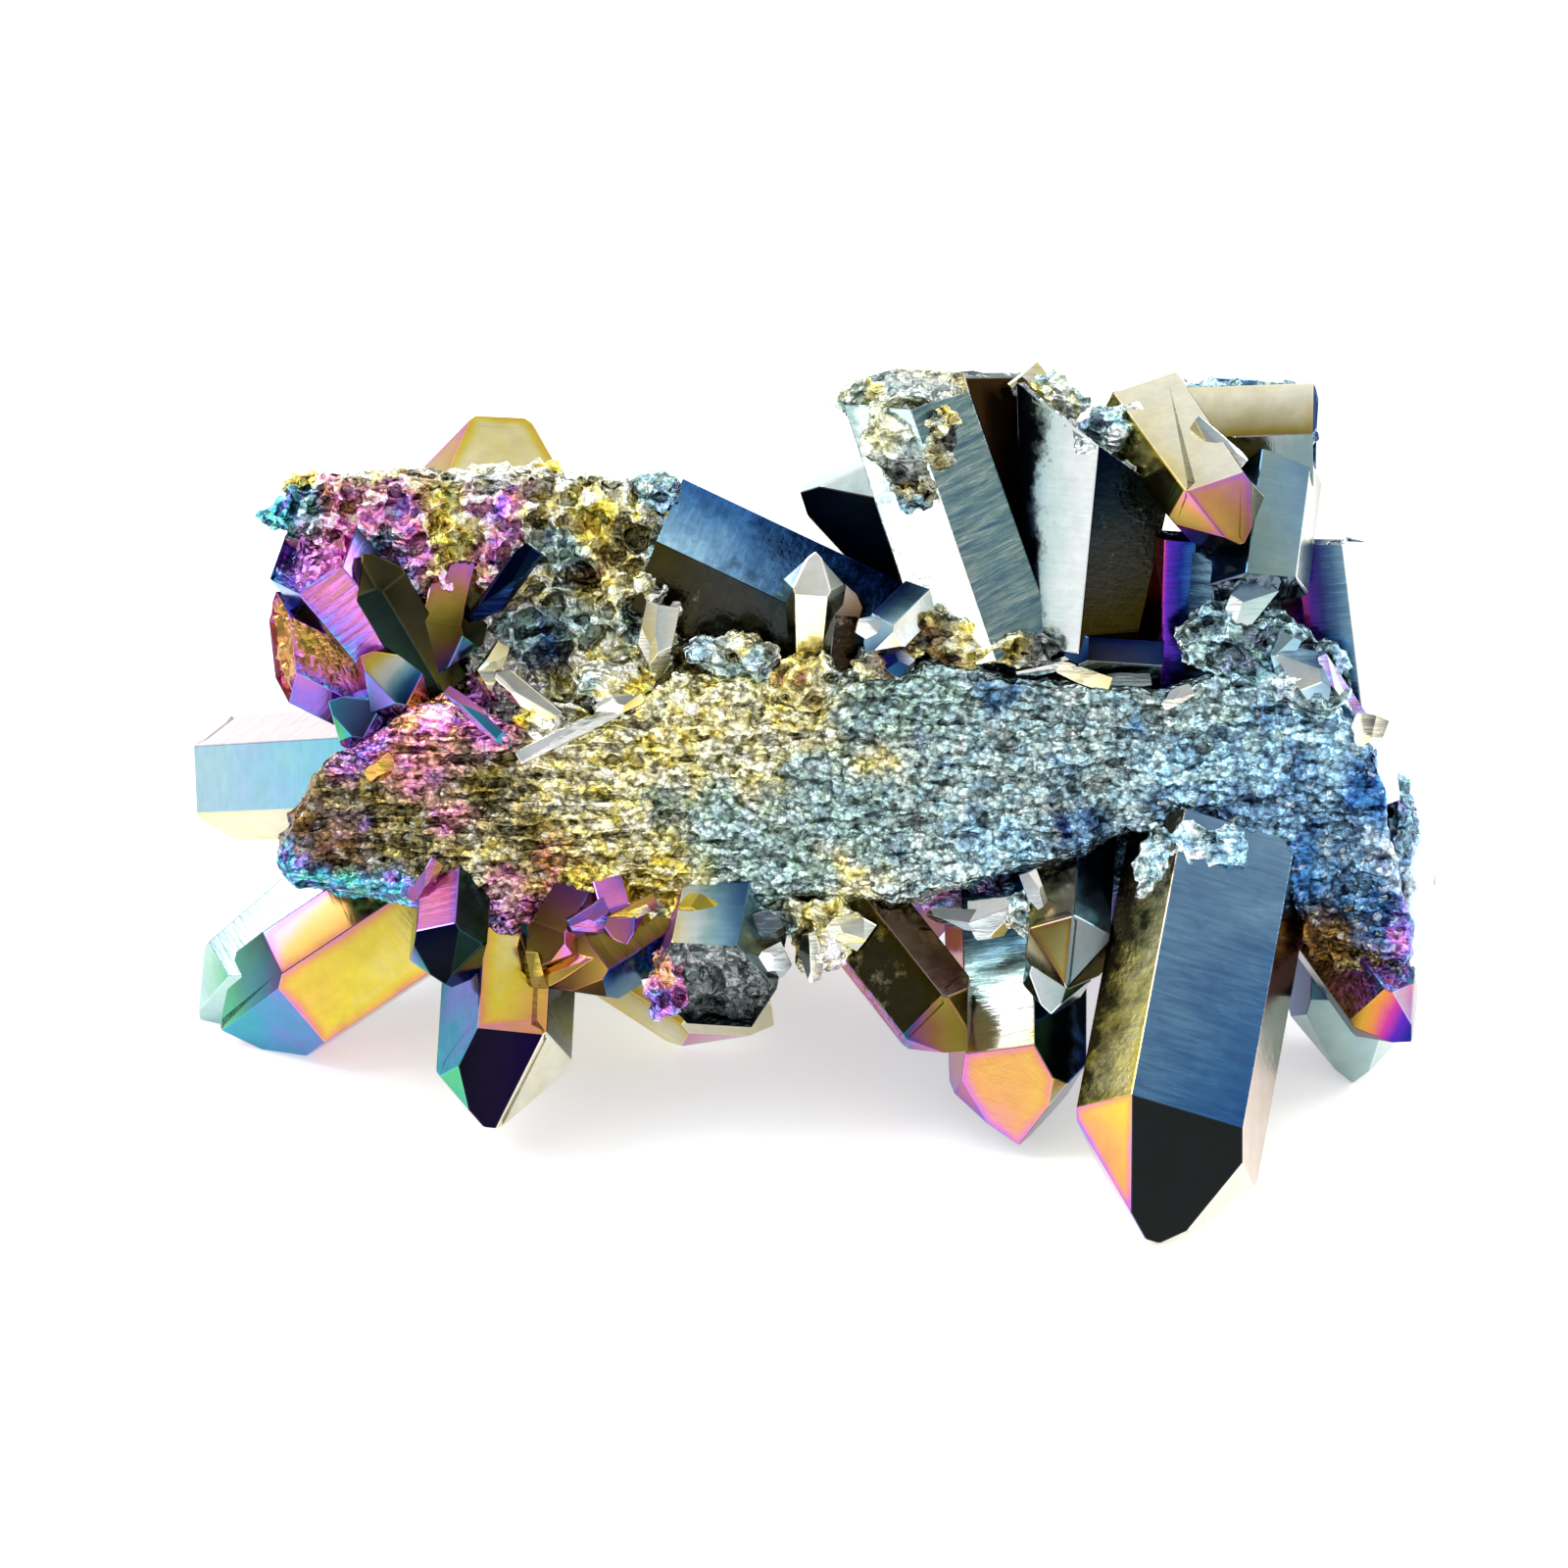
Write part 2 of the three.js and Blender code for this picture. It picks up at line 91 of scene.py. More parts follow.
# A coat is a thickness, a brightness and how far it is paled towards white. The brightness is partly
# the film's own depth of colour and partly painted reflection and painted shade: dark where a face
# would reflect the dim side of the room, bright where it would reflect the bright side. A coat without
# a thickness takes that of the coats next to it.
COATS = {
    "black": (None, 0.016, 0.3), "soot": (None, 0.045, 0.2), "grey": (None, 0.22, 0.6),
    "ash": (None, 0.48, 0.6), "pearl": (None, 0.85, 0.6), "white": (None, 0.98, 0.75),
    "bronze": (0.08, 0.7, 0), "gold": (0.15, 0.8, 0), "copper": (0.21, 0.8, 0), "rose": (0.27, 0.75, 0),
    "plum": (0.34, 0.13, 0), "violet": (0.35, 0.8, 0), "indigo": (0.39, 0.8, 0), "ink": (0.41, 0.1, 0),
    "navy": (0.42, 0.45, 0), "blue": (0.46, 0.75, 0), "steel": (0.49, 0.6, 0.05),
    "denim": (0.51, 0.62, 0.1), "slate": (0.57, 0.3, 0.1), "sky": (0.55, 0.85, 0.1),
    "reed": (0.58, 0.36, 0), "haze": (0.585, 0.5, 0.15), "mist": (0.585, 0.8, 0.2),
    "shade": (0.56, 0.05, 0), "snow": (0.61, 1, 0.8), "cream": (0.665, 0.92, 0.1),
    "straw": (0.7, 0.75, 0), "lemon": (0.722, 0.82, 0), "olive": (0.72, 0.24, 0.05),
    "moss": (0.73, 0.1, 0), "yellow": (0.745, 0.88, 0), "amber": (0.77, 0.85, 0),
    "umber": (0.8, 0.07, 0), "brown": (0.8, 0.16, 0), "orange": (0.81, 0.85, 0),
    "pink": (0.85, 0.85, 0.05), "magenta": (0.875, 0.75, 0), "purple": (0.91, 0.7, 0),
    "dusk": (0.925, 0.14, 0), "azure": (0.94, 0.75, 0), "teal": (0.96, 0.8, 0),
    "glacier": (0.955, 0.62, 0.36), "frost": (0.955, 0.5, 0.26), "stone": (0.975, 0.55, 0.42),
    "mint": (0.98, 0.9, 0.45), "pine": (0.99, 0.08, 0), "green": (1, 0.8, 0), "blush": (0.85, 0.8, 0.7),
}
# How much thicker the film is along the edges of a face with these coats.
RIMS = {"yellow": 0.11, "lemon": 0.12, "amber": 0.09, "orange": 0.06, "straw": 0.04, "olive": 0.1,
        "pink": 0.03, "magenta": 0.03, "purple": 0.02, "plum": 0.04, "navy": -0.03, "violet": -0.04}
# Finish words: ripple, crust, how ragged the light and dark patches are, and the light between them.
# The light and dark patches are painted reflection and painted shade.
FINISHES = {
    "polished": (0, 0, 0, 0.5),
    "smooth": (0.1, 0, 0, 0.5),
    "banded": (0.3, 0, 0, 0.5),
    "rippled": (1, 0, 0, 0.5),
    "crusted": (0.2, 1, 0, 0.5),
    "stained": (0.3, 0.15, 0.55, 0.4),
    "split": (0.1, 0, 0.85, 0.5),
    "parted": (0.1, 0, 0.85, 0.3),
}
# Thicknesses of the film on the small points of the hidden sides.
DRUSE_FILMS = (0.42, 0.5, 0.58, 0.66, 0.74, 0.8, 0.88, 0.93, 0.97)
# How fine the patterns of the coating are, in repeats to a metre.
WANDER, RAGGED, PATCHES, LOOSE, SPECKS, CRACKED, FINE = 330, 520, 900, 1150, 2300, 420, 4200


def film_among(words, usual=0.6):
    """The mean thickness of the coats that have one."""
    films = [COATS[w][0] for w in words if COATS[w][0] is not None]
    return sum(films) / len(films) if films else usual


def linear(code):
    """A #rrggbb code as linear red, green and blue."""
    parts = [int(code[i : i + 2], 16) / 255 for i in (1, 3, 5)]
    return tuple(c / 12.92 if c <= 0.04045 else ((c + 0.055) / 1.055) ** 2.4 for c in parts)


STOPS = [at for at, _ in FILM]
TINTS = np.array([linear(code) for _, code in FILM])


def tint(film):
    """Linear colour of the coating at each thickness."""
    film = np.clip(film, 0, 1)
    return np.stack([np.interp(film, STOPS, TINTS[:, i]) for i in range(3)], axis=-1)


# ------------------------------------------------------------------ what each crystal is
def crystal(name, tip, root, half, roll, taper, end, base, **coats):
    """One crystal: `half` is from the axis to each pair of prism faces, or one size for all three. `end`
    is how far out each of the six end faces lies, or one distance for every second one, or the normal of
    a snapped end. The coats are given for prism faces f0 to f5, end faces e0 to e5 and the snapped end,
    as the corners top left, top right, bottom left and bottom right. Two words are for the left and the
    right, one is for all four, and `base` is for the faces that have none. A word after a slash is a
    finish."""
    halves = half if isinstance(half, tuple) else (half,) * 3
    end = end if isinstance(end, tuple) else (0, end) * 3
    lift, snapped = (None, end) if len(end) == 3 else (end, None)
    return dict(name=name, tip=tip, root=root, half=halves, roll=roll, taper=taper, lift=lift,
                snapped=snapped, base=base, coats=coats)


GROUPS = {
    "big_points": (
        crystal("big_point", (22.8, -29.1, 8.6), (28.1, -4.4, -3.4), (4.6, 5.8, 5.25), -11.2, 0.1,
            (-1.15, -0.14, -0.2, 0.1, 0.4, 0.4), "straw", e0="black", e1="orange yellow magenta yellow",
            e2="magenta pink purple magenta", e5="pearl cream cream pearl",
            f0="denim denim steel blue / banded", f1="umber grey olive straw / stained",
            f5="brown umber pearl pearl"),
        crystal("stub_point", (17.8, -12.7, 3.5), (18.8, -3, -6), (2.5, 2.6, 2.6), 30, 0,
            (0, 0, 0.2, 0.4, 0.2, 0), "grey", e0="olive olive olive straw", e1="cream straw",
            e5="ash grey slate mist", f0="umber umber olive grey", f1="olive",
            f5="navy ink slate slate"),
        crystal("stub_below", (17, -14.7, 0.5), (18.9, -4.5, -6), (1.9, 2, 2), 20, 0, 0.3, "mist",
            e0="white mist", e5="sky steel blue navy", f0="mist", f5="mist sky mist blue"),
    ),
    "left_points": (
        crystal("left_point", (-18, -22.1, 2.5), (-17.3, -3.5, -7.5), (3.7, 3.75, 3.75), -8, 0,
            (-0.4, 0.9, 0.6, 0, -0.1, -0.5), "olive", e0="soot plum", e1="green green teal green",
            e5="cream cream straw pearl", f0="lemon straw yellow lemon", f1="purple magenta teal azure",
            f5="grey slate grey ash"),
        crystal("small_dark_point", (-21.4, -12.7, 4.5), (-21.1, -5, -3), (2.3, 2.3, 2.3), 20, 0,
            (0, 0.4, 0, 0.4, 0, 0.2), "navy", e0="ink ink black black", e1="azure dusk teal pine",
            e5="pine soot black soot", f0="magenta magenta pink magenta", f1="azure dusk teal pine",
            f5="soot pine dusk pine"),
        crystal("gold_chip_left", (-15.9, -11.8, 2), (-12.6, -6.3, -2), (1.8, 1.9, 1.9), 20, 0, 0.4,
            "amber", e0="umber brown olive brown", e5="olive orange amber orange",
            f0="dusk dusk umber brown", f1="amber brown olive brown", f5="dusk purple orange amber"),
        crystal("gold_chip_right", (-10, -10.3, 1.5), (-11.6, -5, -2), 1.6, 0, 0, 0.3, "amber",
            e0="magenta magenta amber purple", e1="dusk magenta dusk amber",
            e5="magenta magenta dusk amber", f0="magenta dusk magenta magenta"),
    ),
    "left_low_points": (
        crystal("left_low_point", (-37, -16.7, -12), (-19.6, -5.2, -8.4), (3.6, 4.6, 4.1), -28, 0,
            (-1.1, -0.8, 0.5, 1, 0.5, 0.5), "amber", e0="teal azure", e1="pine dusk green green",
            e5="azure azure purple azure", f0="amber olive yellow lemon",
            f1="magenta olive brown olive", f5="orange lemon magenta yellow"),
        crystal("left_low_twin", (-38.2, -16, -15.5), (-21.7, -1.9, -11.4), (3.5, 3.8, 3.8), -25, 0,
            (-0.6, 0.2, 0.5, 1, 0.5, 0), "mint", e0="mint mint glacier mint", e1="mint green mint mint",
            f0="amber olive orange olive", f1="glacier pearl mint pearl"),
        crystal("far_left_point", (-39.4, 0.3, -31), (-22.2, 1.1, -8.6), (3.5, 3.7, 3.7), 0, 0,
            (0, 0.4, 0.3, 0.8, 0.2, 0.6), "mint", e0="mint mint mint teal", f0="glacier teal",
            f1="blush", f5="straw ash"),
    ),
    "middle_points": (
        crystal("lower_point", (15, -23.1, -1), (15, -3.7, -10.3), 3.9, 18, 1, (0, 0.8, 0, 0.8, 0, 1.1),
            "navy", e0="orange amber pink amber", e1="magenta pink purple magenta",
            e5="pearl cream cream pearl", f0="ink plum cream straw / banded",
            f1="pink orange magenta orange", f5="navy ink blue navy / split"),
        crystal("middle_far_point", (-0.6, -15.8, -12.7), (-16, -5.8, -13.1), (4, 4.2, 4.2), 10, 0,
            (0, 0.6, 0, 0.4, 0, 0.5), "straw", e0="cream straw cream cream",
            e1="pink pearl magenta pearl", e5="pearl cream cream pearl", f0="olive straw",
            f1="olive straw pink cream"),
        crystal("slanted_left", (-14.9, -13, 1), (-4.1, -6.3, -4), (2.4, 2.6, 2.6), 15, 0, 0.5,
            "bronze", e0="brown umber umber amber", e1="amber orange brown umber",
            f0="olive straw brown olive / rippled", f1="amber straw olive brown",
            f5="navy steel slate grey"),
        crystal("snapped_front", (-4.6, -12.8, 1.5), (-2.8, -3.5, -7), 3.7, 15, 0, (-0.2, -0.7, 0.7),
            "grey", f0="slate ink straw steel", f1="magenta orange purple magenta / crusted",
            f5="sky grey slate grey", snap="ash ash soot soot / crusted"),
        crystal("slanted_right", (11.7, -17, 1.5), (1.5, -4.1, -5.1), (2.4, 2.8, 2.8), 20, 0, 0.5,
            "olive", e0="olive moss dusk olive", e1="magenta orange purple magenta",
            e5="olive moss straw olive", f0="straw olive soot moss / stained",
            f1="orange amber magenta magenta / crusted", f5="umber brown grey brown"),
    ),
    "right_points": (
        crystal("right_far_point", (37, -19.5, -9.3), (37.8, -1.8, -10.6), (4, 3.9, 3.9), 15, 1, 0.5,
            "navy", e0="haze mist", e1="haze mist mist haze", e5="mist snow white mist",
            f0="ink ink steel ink / split", f1="navy ink steel navy", f5="ink snow / split"),
        crystal("right_low_point", (40.1, -16.5, -1), (34.4, -8.2, -5), (2.4, 2.6, 2.6), 25, 0, 0.4,
            "brown", e0="copper blue bronze indigo", e1="umber dusk dusk umber",
            e5="pearl pink pearl purple", f0="brown umber brown dusk / crusted",
            f1="umber brown dusk umber", f5="brown orange purple dusk / crusted"),
        crystal("rear_right", (42.6, -6.6, -12), (33, 0, -12), 2.9, 10, 0, 0.6, "haze",
            f0="mist mist haze steel"),
    ),
    "leaning_prisms": (
        crystal("leaning_prism", (7.6, 25.2, 1), (13.3, 8.8, -3), (3.75, 3.9, 3.65), 27, 0.8,
            (-0.1, 0.9, 0.35), "slate", f0="reed reed slate reed / rippled", f1="ink navy soot soot",
            f5="haze mist cream cream / stained", snap="mist straw slate mist / crusted"),
        crystal("behind_leaning", (13, 26.5, -8), (16.5, 8.2, -9), 3.6, 10, 0, (0, 1, 0.1), "soot",
            f0="umber umber soot umber", f1="soot umber", f5="grey soot umber soot",
            snap="slate ash grey ash"),
        crystal("behind_tall", (18.5, 21.5, -8), (20.5, 6.5, -7), 4.6, 20, 0, (0.1, 1, 0.1), "soot",
            f0="soot umber umber soot / stained", f1="umber soot ink soot", f5="umber soot",
            snap="ash grey soot ash"),
    ),
    "tall_prisms": (
        crystal("tall_prism", (20.2, 22, -2.5), (18.9, 8.4, -3), 5.2, -32, -7, (0.6, 0.8, 0.1), "soot",
            f0="shade snow / parted", f1="ink slate umber umber / stained", f5="soot umber umber umber",
            snap="ash cream grey mist / crusted"),
        crystal("diagonal_point", (28.9, 15.4, 4.9), (23.3, 24, -3.9), (2.9, 2.6, 2.1), 39, 2,
            (0.15, 0.16, 0.3, 0.3, 0.3, -0.4), "olive", e0="orange magenta olive brown",
            e1="orange umber dusk umber", e5="orange pink yellow brown", f0="olive olive moss straw",
            f1="olive moss soot moss", f5="cream cream straw pearl"),
        crystal("corner_block", (34, 22.3, -2), (23.9, 22, -4), 3.3, 30, 0, (1, 0, 0.1), "steel",
            f0="olive slate grey slate", f1="slate steel grey slate", f5="cream white olive olive"),
        crystal("hanging_block", (30.2, 12.4, 1.5), (31.4, 20, -2), 2.8, -10, 0, (0, -1, 0.3), "steel",
            f0="haze denim reed haze", f1="navy steel steel steel", f5="ash grey cream ash",
            snap="grey slate navy grey"),
    ),
    "splinters": (
        crystal("blue_splinter", (25, 15.9, -1), (24.8, 6.9, -4), 1.8, 10, 0, (0.1, 1, 0.2), "blue",
            f0="violet blue violet navy / banded", f1="navy ink ink navy",
            f5="copper rose bronze violet", snap="navy ink / crusted"),
        crystal("steel_splinter", (27.4, 15, -1.5), (27.9, 5, -4), 2.3, 25, 0, (0.3, 0.9, 0.3), "slate",
            f0="slate steel slate grey / rippled", f1="slate grey grey slate",
            f5="ink slate slate navy / rippled", snap="slate ink slate navy / crusted"),
        crystal("right_upright", (34.5, 15.6, -4), (36.7, -1.4, -6.6), 2.6, -8, 0.5, (0, 1, 0.1),
            "pearl", f0="rose sky violet sky / banded", f1="pearl cream pearl pearl",
            f5="orange magenta orange purple"),
        crystal("sill_prism", (17.5, 8.6, 0.3), (24, 8.2, -0.8), 1.3, 5, 0, 0.3, "ink",
            e0="navy blue steel ink", f0="ink navy black navy", f1="ink plum ink ink",
            f5="grey ash slate grey"),
        crystal("rear_top_right", (31.2, 26, -9), (29.8, 3, -10.4), 3.5, 20, 0, (0.1, 1, 0), "sky",
            f0="mist sky white mist / crusted", snap="sky mist / crusted"),
    ),
    "bridge_prisms": (
        crystal("bridge_prism", (-8.2, 15.3, -4.2), (10, 6.7, -5), 4.5, 32, 0, (-1, 0.4, 0), "ink",
            f0="blue ink sky ink / stained", f1="sky ink navy ink", f5="moss ink moss black / stained",
            snap="straw"),
        crystal("small_white_point", (2, 14.8, 2), (1.7, 7.6, -1.5), 2, -5, -5, 0.2, "cream",
            e0="white white cream white", e1="pearl ash cream ash", e5="white cream cream cream",
            f0="cream cream cream straw", f1="ash grey straw ash", f5="straw cream straw straw"),
        crystal("small_white_twin", (3.9, 12.8, 0), (3.1, 5, -2), 1.4, 15, 0, 0.3, "brown",
            e0="pearl ash grey brown", f0="grey brown umber soot / stained", f5="slate grey ash grey"),
        crystal("notch_point", (1, 18.9, -8), (11.5, 16.7, -13), 4.6, 30, 0, (0.5, 0, 0.5, 0, 0.5, 0),
            "soot", e0="snow mist mist mist", e1="mist snow mist mist", e4="white",
            e5="soot umber soot ink", f0="soot umber soot soot", f1="mist snow mist mist", f4="white",
            f5="soot umber pearl pearl"),
        crystal("chip_upper", (5.2, 8.3, 2), (9.4, 12.5, -1), 1.5, 30, 0, 0.2, "mist",
            e0="sky mist mist navy", e5="white cream white straw", f0="navy ink mist steel",
            f5="white sky cream white"),
    ),
    "pocket_points": (
        crystal("pocket_chunk", (-30.1, 14.8, -0.9), (-23.1, 6.2, -4.5), 2.9, -14, 0, (-0.5, 0.6, 0.6),
            "magenta", f0="magenta pink azure magenta / rippled", f1="magenta dusk dusk dusk",
            f5="azure purple", snap="magenta orange azure magenta / rippled"),
        crystal("pocket_wall", (-32.2, 8.8, -3), (-22.5, 4, -6), 2.7, 10, 0, (-0.9, -0.1, 0.3), "amber",
            f0="yellow orange magenta magenta / crusted", f1="yellow orange orange magenta",
            f5="magenta azure purple azure"),
        crystal("pocket_prism", (-26.9, 14.7, 0.8), (-22, 6.2, -2.5), 1.8, 30, 0, 0.2, "moss",
            e0="black soot moss black", e5="soot black moss black", f0="black soot moss black / banded",
            f1="soot black olive soot", f5="black black pine black / banded"),
        crystal("pocket_diamond", (-27, 8.2, 0.5), (-22.5, 4.4, -5), 2.5, 20, 0, 0.3, "purple",
            e0="magenta blue orange ink", e1="magenta purple amber magenta",
            e5="azure purple dusk purple", f0="purple magenta amber dusk", f1="dusk pine",
            f5="purple orange dusk dusk"),
        crystal("pocket_low", (-29.1, 5.3, -0.5), (-23.8, 2.5, -5), 1.9, 0, 0, 0.3, "azure",
            e0="azure dusk teal dusk", e1="pink purple azure teal", f0="azure dusk purple pine",
            f5="dusk pine purple dusk"),
        crystal("pocket_hanging", (-22.2, 6.8, -0.4), (-20.8, 13.5, -3.5), 2.2, 10, 0, 0.3, "purple",
            e0="olive moss soot pine", f0="purple magenta olive moss", f1="magenta purple dusk pine",
            f5="olive moss soot soot"),
    ),
    "rear_top_points": (
        crystal("rear_top_left", (-18.6, 25.6, -15), (-19.2, 4, -13.6), (6.2, 6.6, 6.6), 10, 0,
            (-0.9, 0.4, 0.2, -0.9, 0.2, 0.4), "cream", e0="lemon straw cream lemon",
            e1="cream straw cream cream", e5="pink orange pearl lemon", f0="straw lemon cream cream"),
        crystal("rear_high_right", (20, 20, -21), (18, 6, -12), 3.4, 18, 0, 0.6, "teal"),
        crystal("rear_shoulder_right", (30, 12, -25), (23, 5, -12), 3.9, 0, 0, 0.6, "steel"),
        crystal("rear_side_right", (37, 0, -22), (28, 1, -12), 3, 12, 0, 0.5, "violet"),
    ),
    "rear_crown_points": (
        crystal("rear_left", (-28, 12, -23), (-20, 4, -12), 3.5, 5, 0, 0.6, "magenta"),
        crystal("rear_crown_left", (-12, 8, -31), (-10, 3, -12), 4.6, 15, 1, 0.8, "amber"),
        crystal("rear_crown_middle", (3.5, 10, -27), (2, 3, -12), 3.4, 25, 0, 0.6, "straw"),
        crystal("rear_crown_right", (15, 6, -32), (13, 3, -12), 4.9, 8, 1, 0.8, "steel"),
    ),
    "rear_low_points": (
        crystal("rear_low_left", (-24, -8.6, -28.2), (-15, -2, -12), 4.2, 0, 1, 0.6, "teal"),
        crystal("rear_low_middle", (-4, -7.4, -30.2), (-3, -1, -12), 3.8, 12, 1, 0.6, "gold"),
        crystal("rear_low_right", (24, -8.9, -27.8), (17, -1, -12), 4.4, 20, 1, 0.6, "violet"),
        crystal("rear_under", (8, -11, -20), (7, -3, -11), 3, 12, 0, 0.5, "orange"),
    ),
}

# ------------------------------------------------------------------ the matrix
# Outlines of the blocks from left to right.
SEAM_TOP = ((-32.3, -4.2), (-30.5, 0), (-28.4, 2.2), (-25, 3.9), (-21.2, 5.9), (-18.1, 4.1), (-15, 2.4),
            (-11.9, 3.4), (-9.4, 5.3), (-5, 7.2), (1.9, 6.9), (9.4, 8.1), (16.2, 6.6), (23.8, 5.9),
            (30.6, 8.1), (34.4, 6.2), (37.8, 2.8), (39, -5), (40.2, -8.8))
SEAM_BOTTOM = ((-32.3, -5.1), (-31.2, -6.6), (-24, -7.5), (-21.9, -6.6), (-17.5, -10.1), (-14.7, -7.8),
               (-9.4, -7), (-3.8, -7.8), (3.1, -7.5), (8.1, -7.8), (12.5, -6.2), (16.9, -5),
               (22.5, -3.1), (30.6, -3.8), (34, -10), (40.2, -11.6))
SHELF_TOP = ((-33.4, 17.5), (-31.2, 19.1), (-26.9, 20), (-12.5, 19.9), (-6.9, 19.4), (-5.9, 17.5))
SHELF_BOTTOM = ((-33.4, 16.9), (-31.9, 15.9), (-28.8, 15), (-25, 12.5), (-20.6, 10), (-19.5, 3.8),
                (-7.5, 6.2), (-5.9, 15))
CORE_TOP = ((-28, 2), (-20, 10), (-6, 11), (2, 9), (10, 12), (30, 12), (36, 4))
CORE_BOTTOM = ((-28, -3), (-18, -7), (10, -8), (30, -6), (36, -5))
BOWL = (-15.6, 8.8, 4.4, 2.4)  # u, v, radius and depth of the hollow in the shelf
# Small points grow where the blocks hide them: from u to u behind the seam and the shelf, this far
# inside their outlines and behind this w. A point starts below the surface and reaches out of it.
SEAM_SPAN, SHELF_SPAN = (-31, 38), (-31, -8)
COVER, BEHIND = 1.5, -5
DRUSE_ROOT, DRUSE_REACH = 0.4, 4.5

# Dabs of coating on the matrix: u, v, radius and coat.
SEAM_DABS = (
    (-31, -2, 3, "brown"), (-31, -5, 2, "azure"), (-28, -6.7, 2.2, "teal"), (-25, -6.8, 2, "azure"),
    (-30, 0.5, 2, "olive"), (-27, 1.8, 2.2, "magenta"), (-23, 4.2, 2.2, "orange"),
    (-19.5, 3.8, 2.2, "magenta"), (-27, -1, 3, "olive"), (-24, 1.2, 2.5, "pink"), (-24, -3, 3, "olive"),
    (-27.5, -2.4, 1.2, "purple"), (-21, -2, 1.2, "pink"), (-28, -4, 2.5, "brown"),
    (-22, -5, 3, "olive"), (-17.5, -5.8, 1.4, "pink"), (-19, 0, 3, "olive"), (-17, -4, 3, "olive"),
    (-19, -5, 2, "straw"), (-20, -8, 1.8, "magenta"), (-16, -8.5, 1.6, "magenta"),
    (-15, -5, 2, "orange"), (-14, 0, 3, "straw"), (-12, 3, 2, "straw"), (-11, -3, 4, "straw"),
    (-12, -6, 2, "yellow"), (-8, 1, 4, "straw"), (-8, -1, 2, "stone"), (-8, -5, 3, "lemon"),
    (-4, -2, 4, "stone"), (-4, 4.5, 2.5, "straw"), (-2, 1, 3, "straw"), (0, -5, 3, "stone"),
    (1, 4, 3, "straw"), (1, 0, 3, "stone"), (5, 4, 3, "stone"), (5, -2, 4, "stone"), (6, 2, 2, "straw"),
    (4, -6, 2, "straw"), (9, 5, 3, "stone"), (9, 0, 4, "haze"), (9, -5, 3, "mist"), (13, 3, 3, "haze"),
    (15, -1, 3, "haze"), (14, -4, 2, "sky"), (19, 3, 3, "haze"), (21, 0, 3, "haze"),
    (20, -2.5, 2, "steel"), (25, 4, 3, "haze"), (25, 1, 3, "sky"), (28, 6, 2.5, "stone"),
    (29, 1, 3, "sky"), (27, -2, 2.5, "navy"), (31, -2, 3, "denim"), (33, 3.4, 2.5, "sky"),
    (32, 0.5, 2, "steel"), (35, -3, 3, "denim"), (33, -5, 2.5, "blue"), (36, -7, 2.5, "steel"),
    (38, -8, 2, "blue"), (37.5, -1, 2, "blue"), (14, 5.5, 1.2, "steel"), (17.5, 1, 1, "denim"),
    (22.5, 3.5, 1, "steel"), (12, -3.5, 1, "denim"), (18, -2.5, 1.2, "navy"), (24, -1, 1.2, "denim"),
    (31, 5, 1.2, "steel"), (28, 3, 0.9, "denim"), (7, -4.5, 1, "steel"), (6.5, 5.5, 0.9, "slate"),
    (39.8, -9, 1.4, "purple"), (39.4, -4, 1.2, "pearl"), (35, -10, 2.5, "bronze"),
)
SHELF_DABS = (
    (-32, 17.5, 2, "teal"), (-30.4, 17, 1.6, "frost"), (-28, 17.6, 2, "pink"), (-27, 16, 2, "pink"),
    (-25, 18, 2, "magenta"), (-24, 15, 2, "magenta"), (-26, 15.2, 1.2, "teal"),
    (-24.6, 13, 1.4, "azure"), (-30, 15, 1.4, "pink"), (-22, 17.5, 2, "yellow"), (-21, 15, 2, "yellow"),
    (-20, 12.5, 2, "pink"), (-18, 18, 2, "magenta"), (-20, 16, 1.4, "straw"),
    (-18.5, 15.2, 1.5, "magenta"), (-18.6, 17, 0.9, "violet"), (-19.4, 13.6, 1, "pink"),
    (-17, 13, 1.8, "straw"), (-15, 18, 2, "straw"), (-14.5, 15, 2, "stone"), (-12, 17, 2, "yellow"),
    (-10, 15, 2, "olive"), (-9, 18, 2, "straw"), (-7.6, 15, 1.4, "slate"), (-7, 17, 1.5, "frost"),
    (-11, 12, 2, "straw"), (-12, 13.5, 1.4, "brown"), (-13, 10, 2, "stone"), (-15.6, 8.8, 1.7, "blue"),
    (-15.9, 8.7, 0.6, "brown"), (-17.5, 10, 1.5, "stone"), (-19, 8, 1.5, "cream"), (-12, 8, 2, "straw"),
    (-9.5, 10, 2, "stone"), (-7.5, 12, 1.2, "cream"), (-8, 8, 2, "straw"), (-17, 6, 2, "cream"),
    (-14, 5.5, 2, "straw"), (-10, 6, 2, "cream"), (-20, 6, 2, "magenta"), (-26, 20, 2, "straw"),
    (-20, 20.5, 2, "cream"), (-14, 20.5, 2, "cream"), (-9, 20.5, 2, "ash"),
)
CORE_DABS = (
    (-26, 0, 8, "magenta"), (-16, 4, 7, "amber"), (-10, -4, 8, "teal"), (0, 5, 8, "straw"),
    (4, -6, 8, "purple"), (12, 8, 8, "sky"), (20, 0, 8, "steel"), (28, 8, 8, "violet"),
    (32, -3, 8, "blue"), (22, 12, 8, "brown"), (-2, -8, 6, "gold"),
)
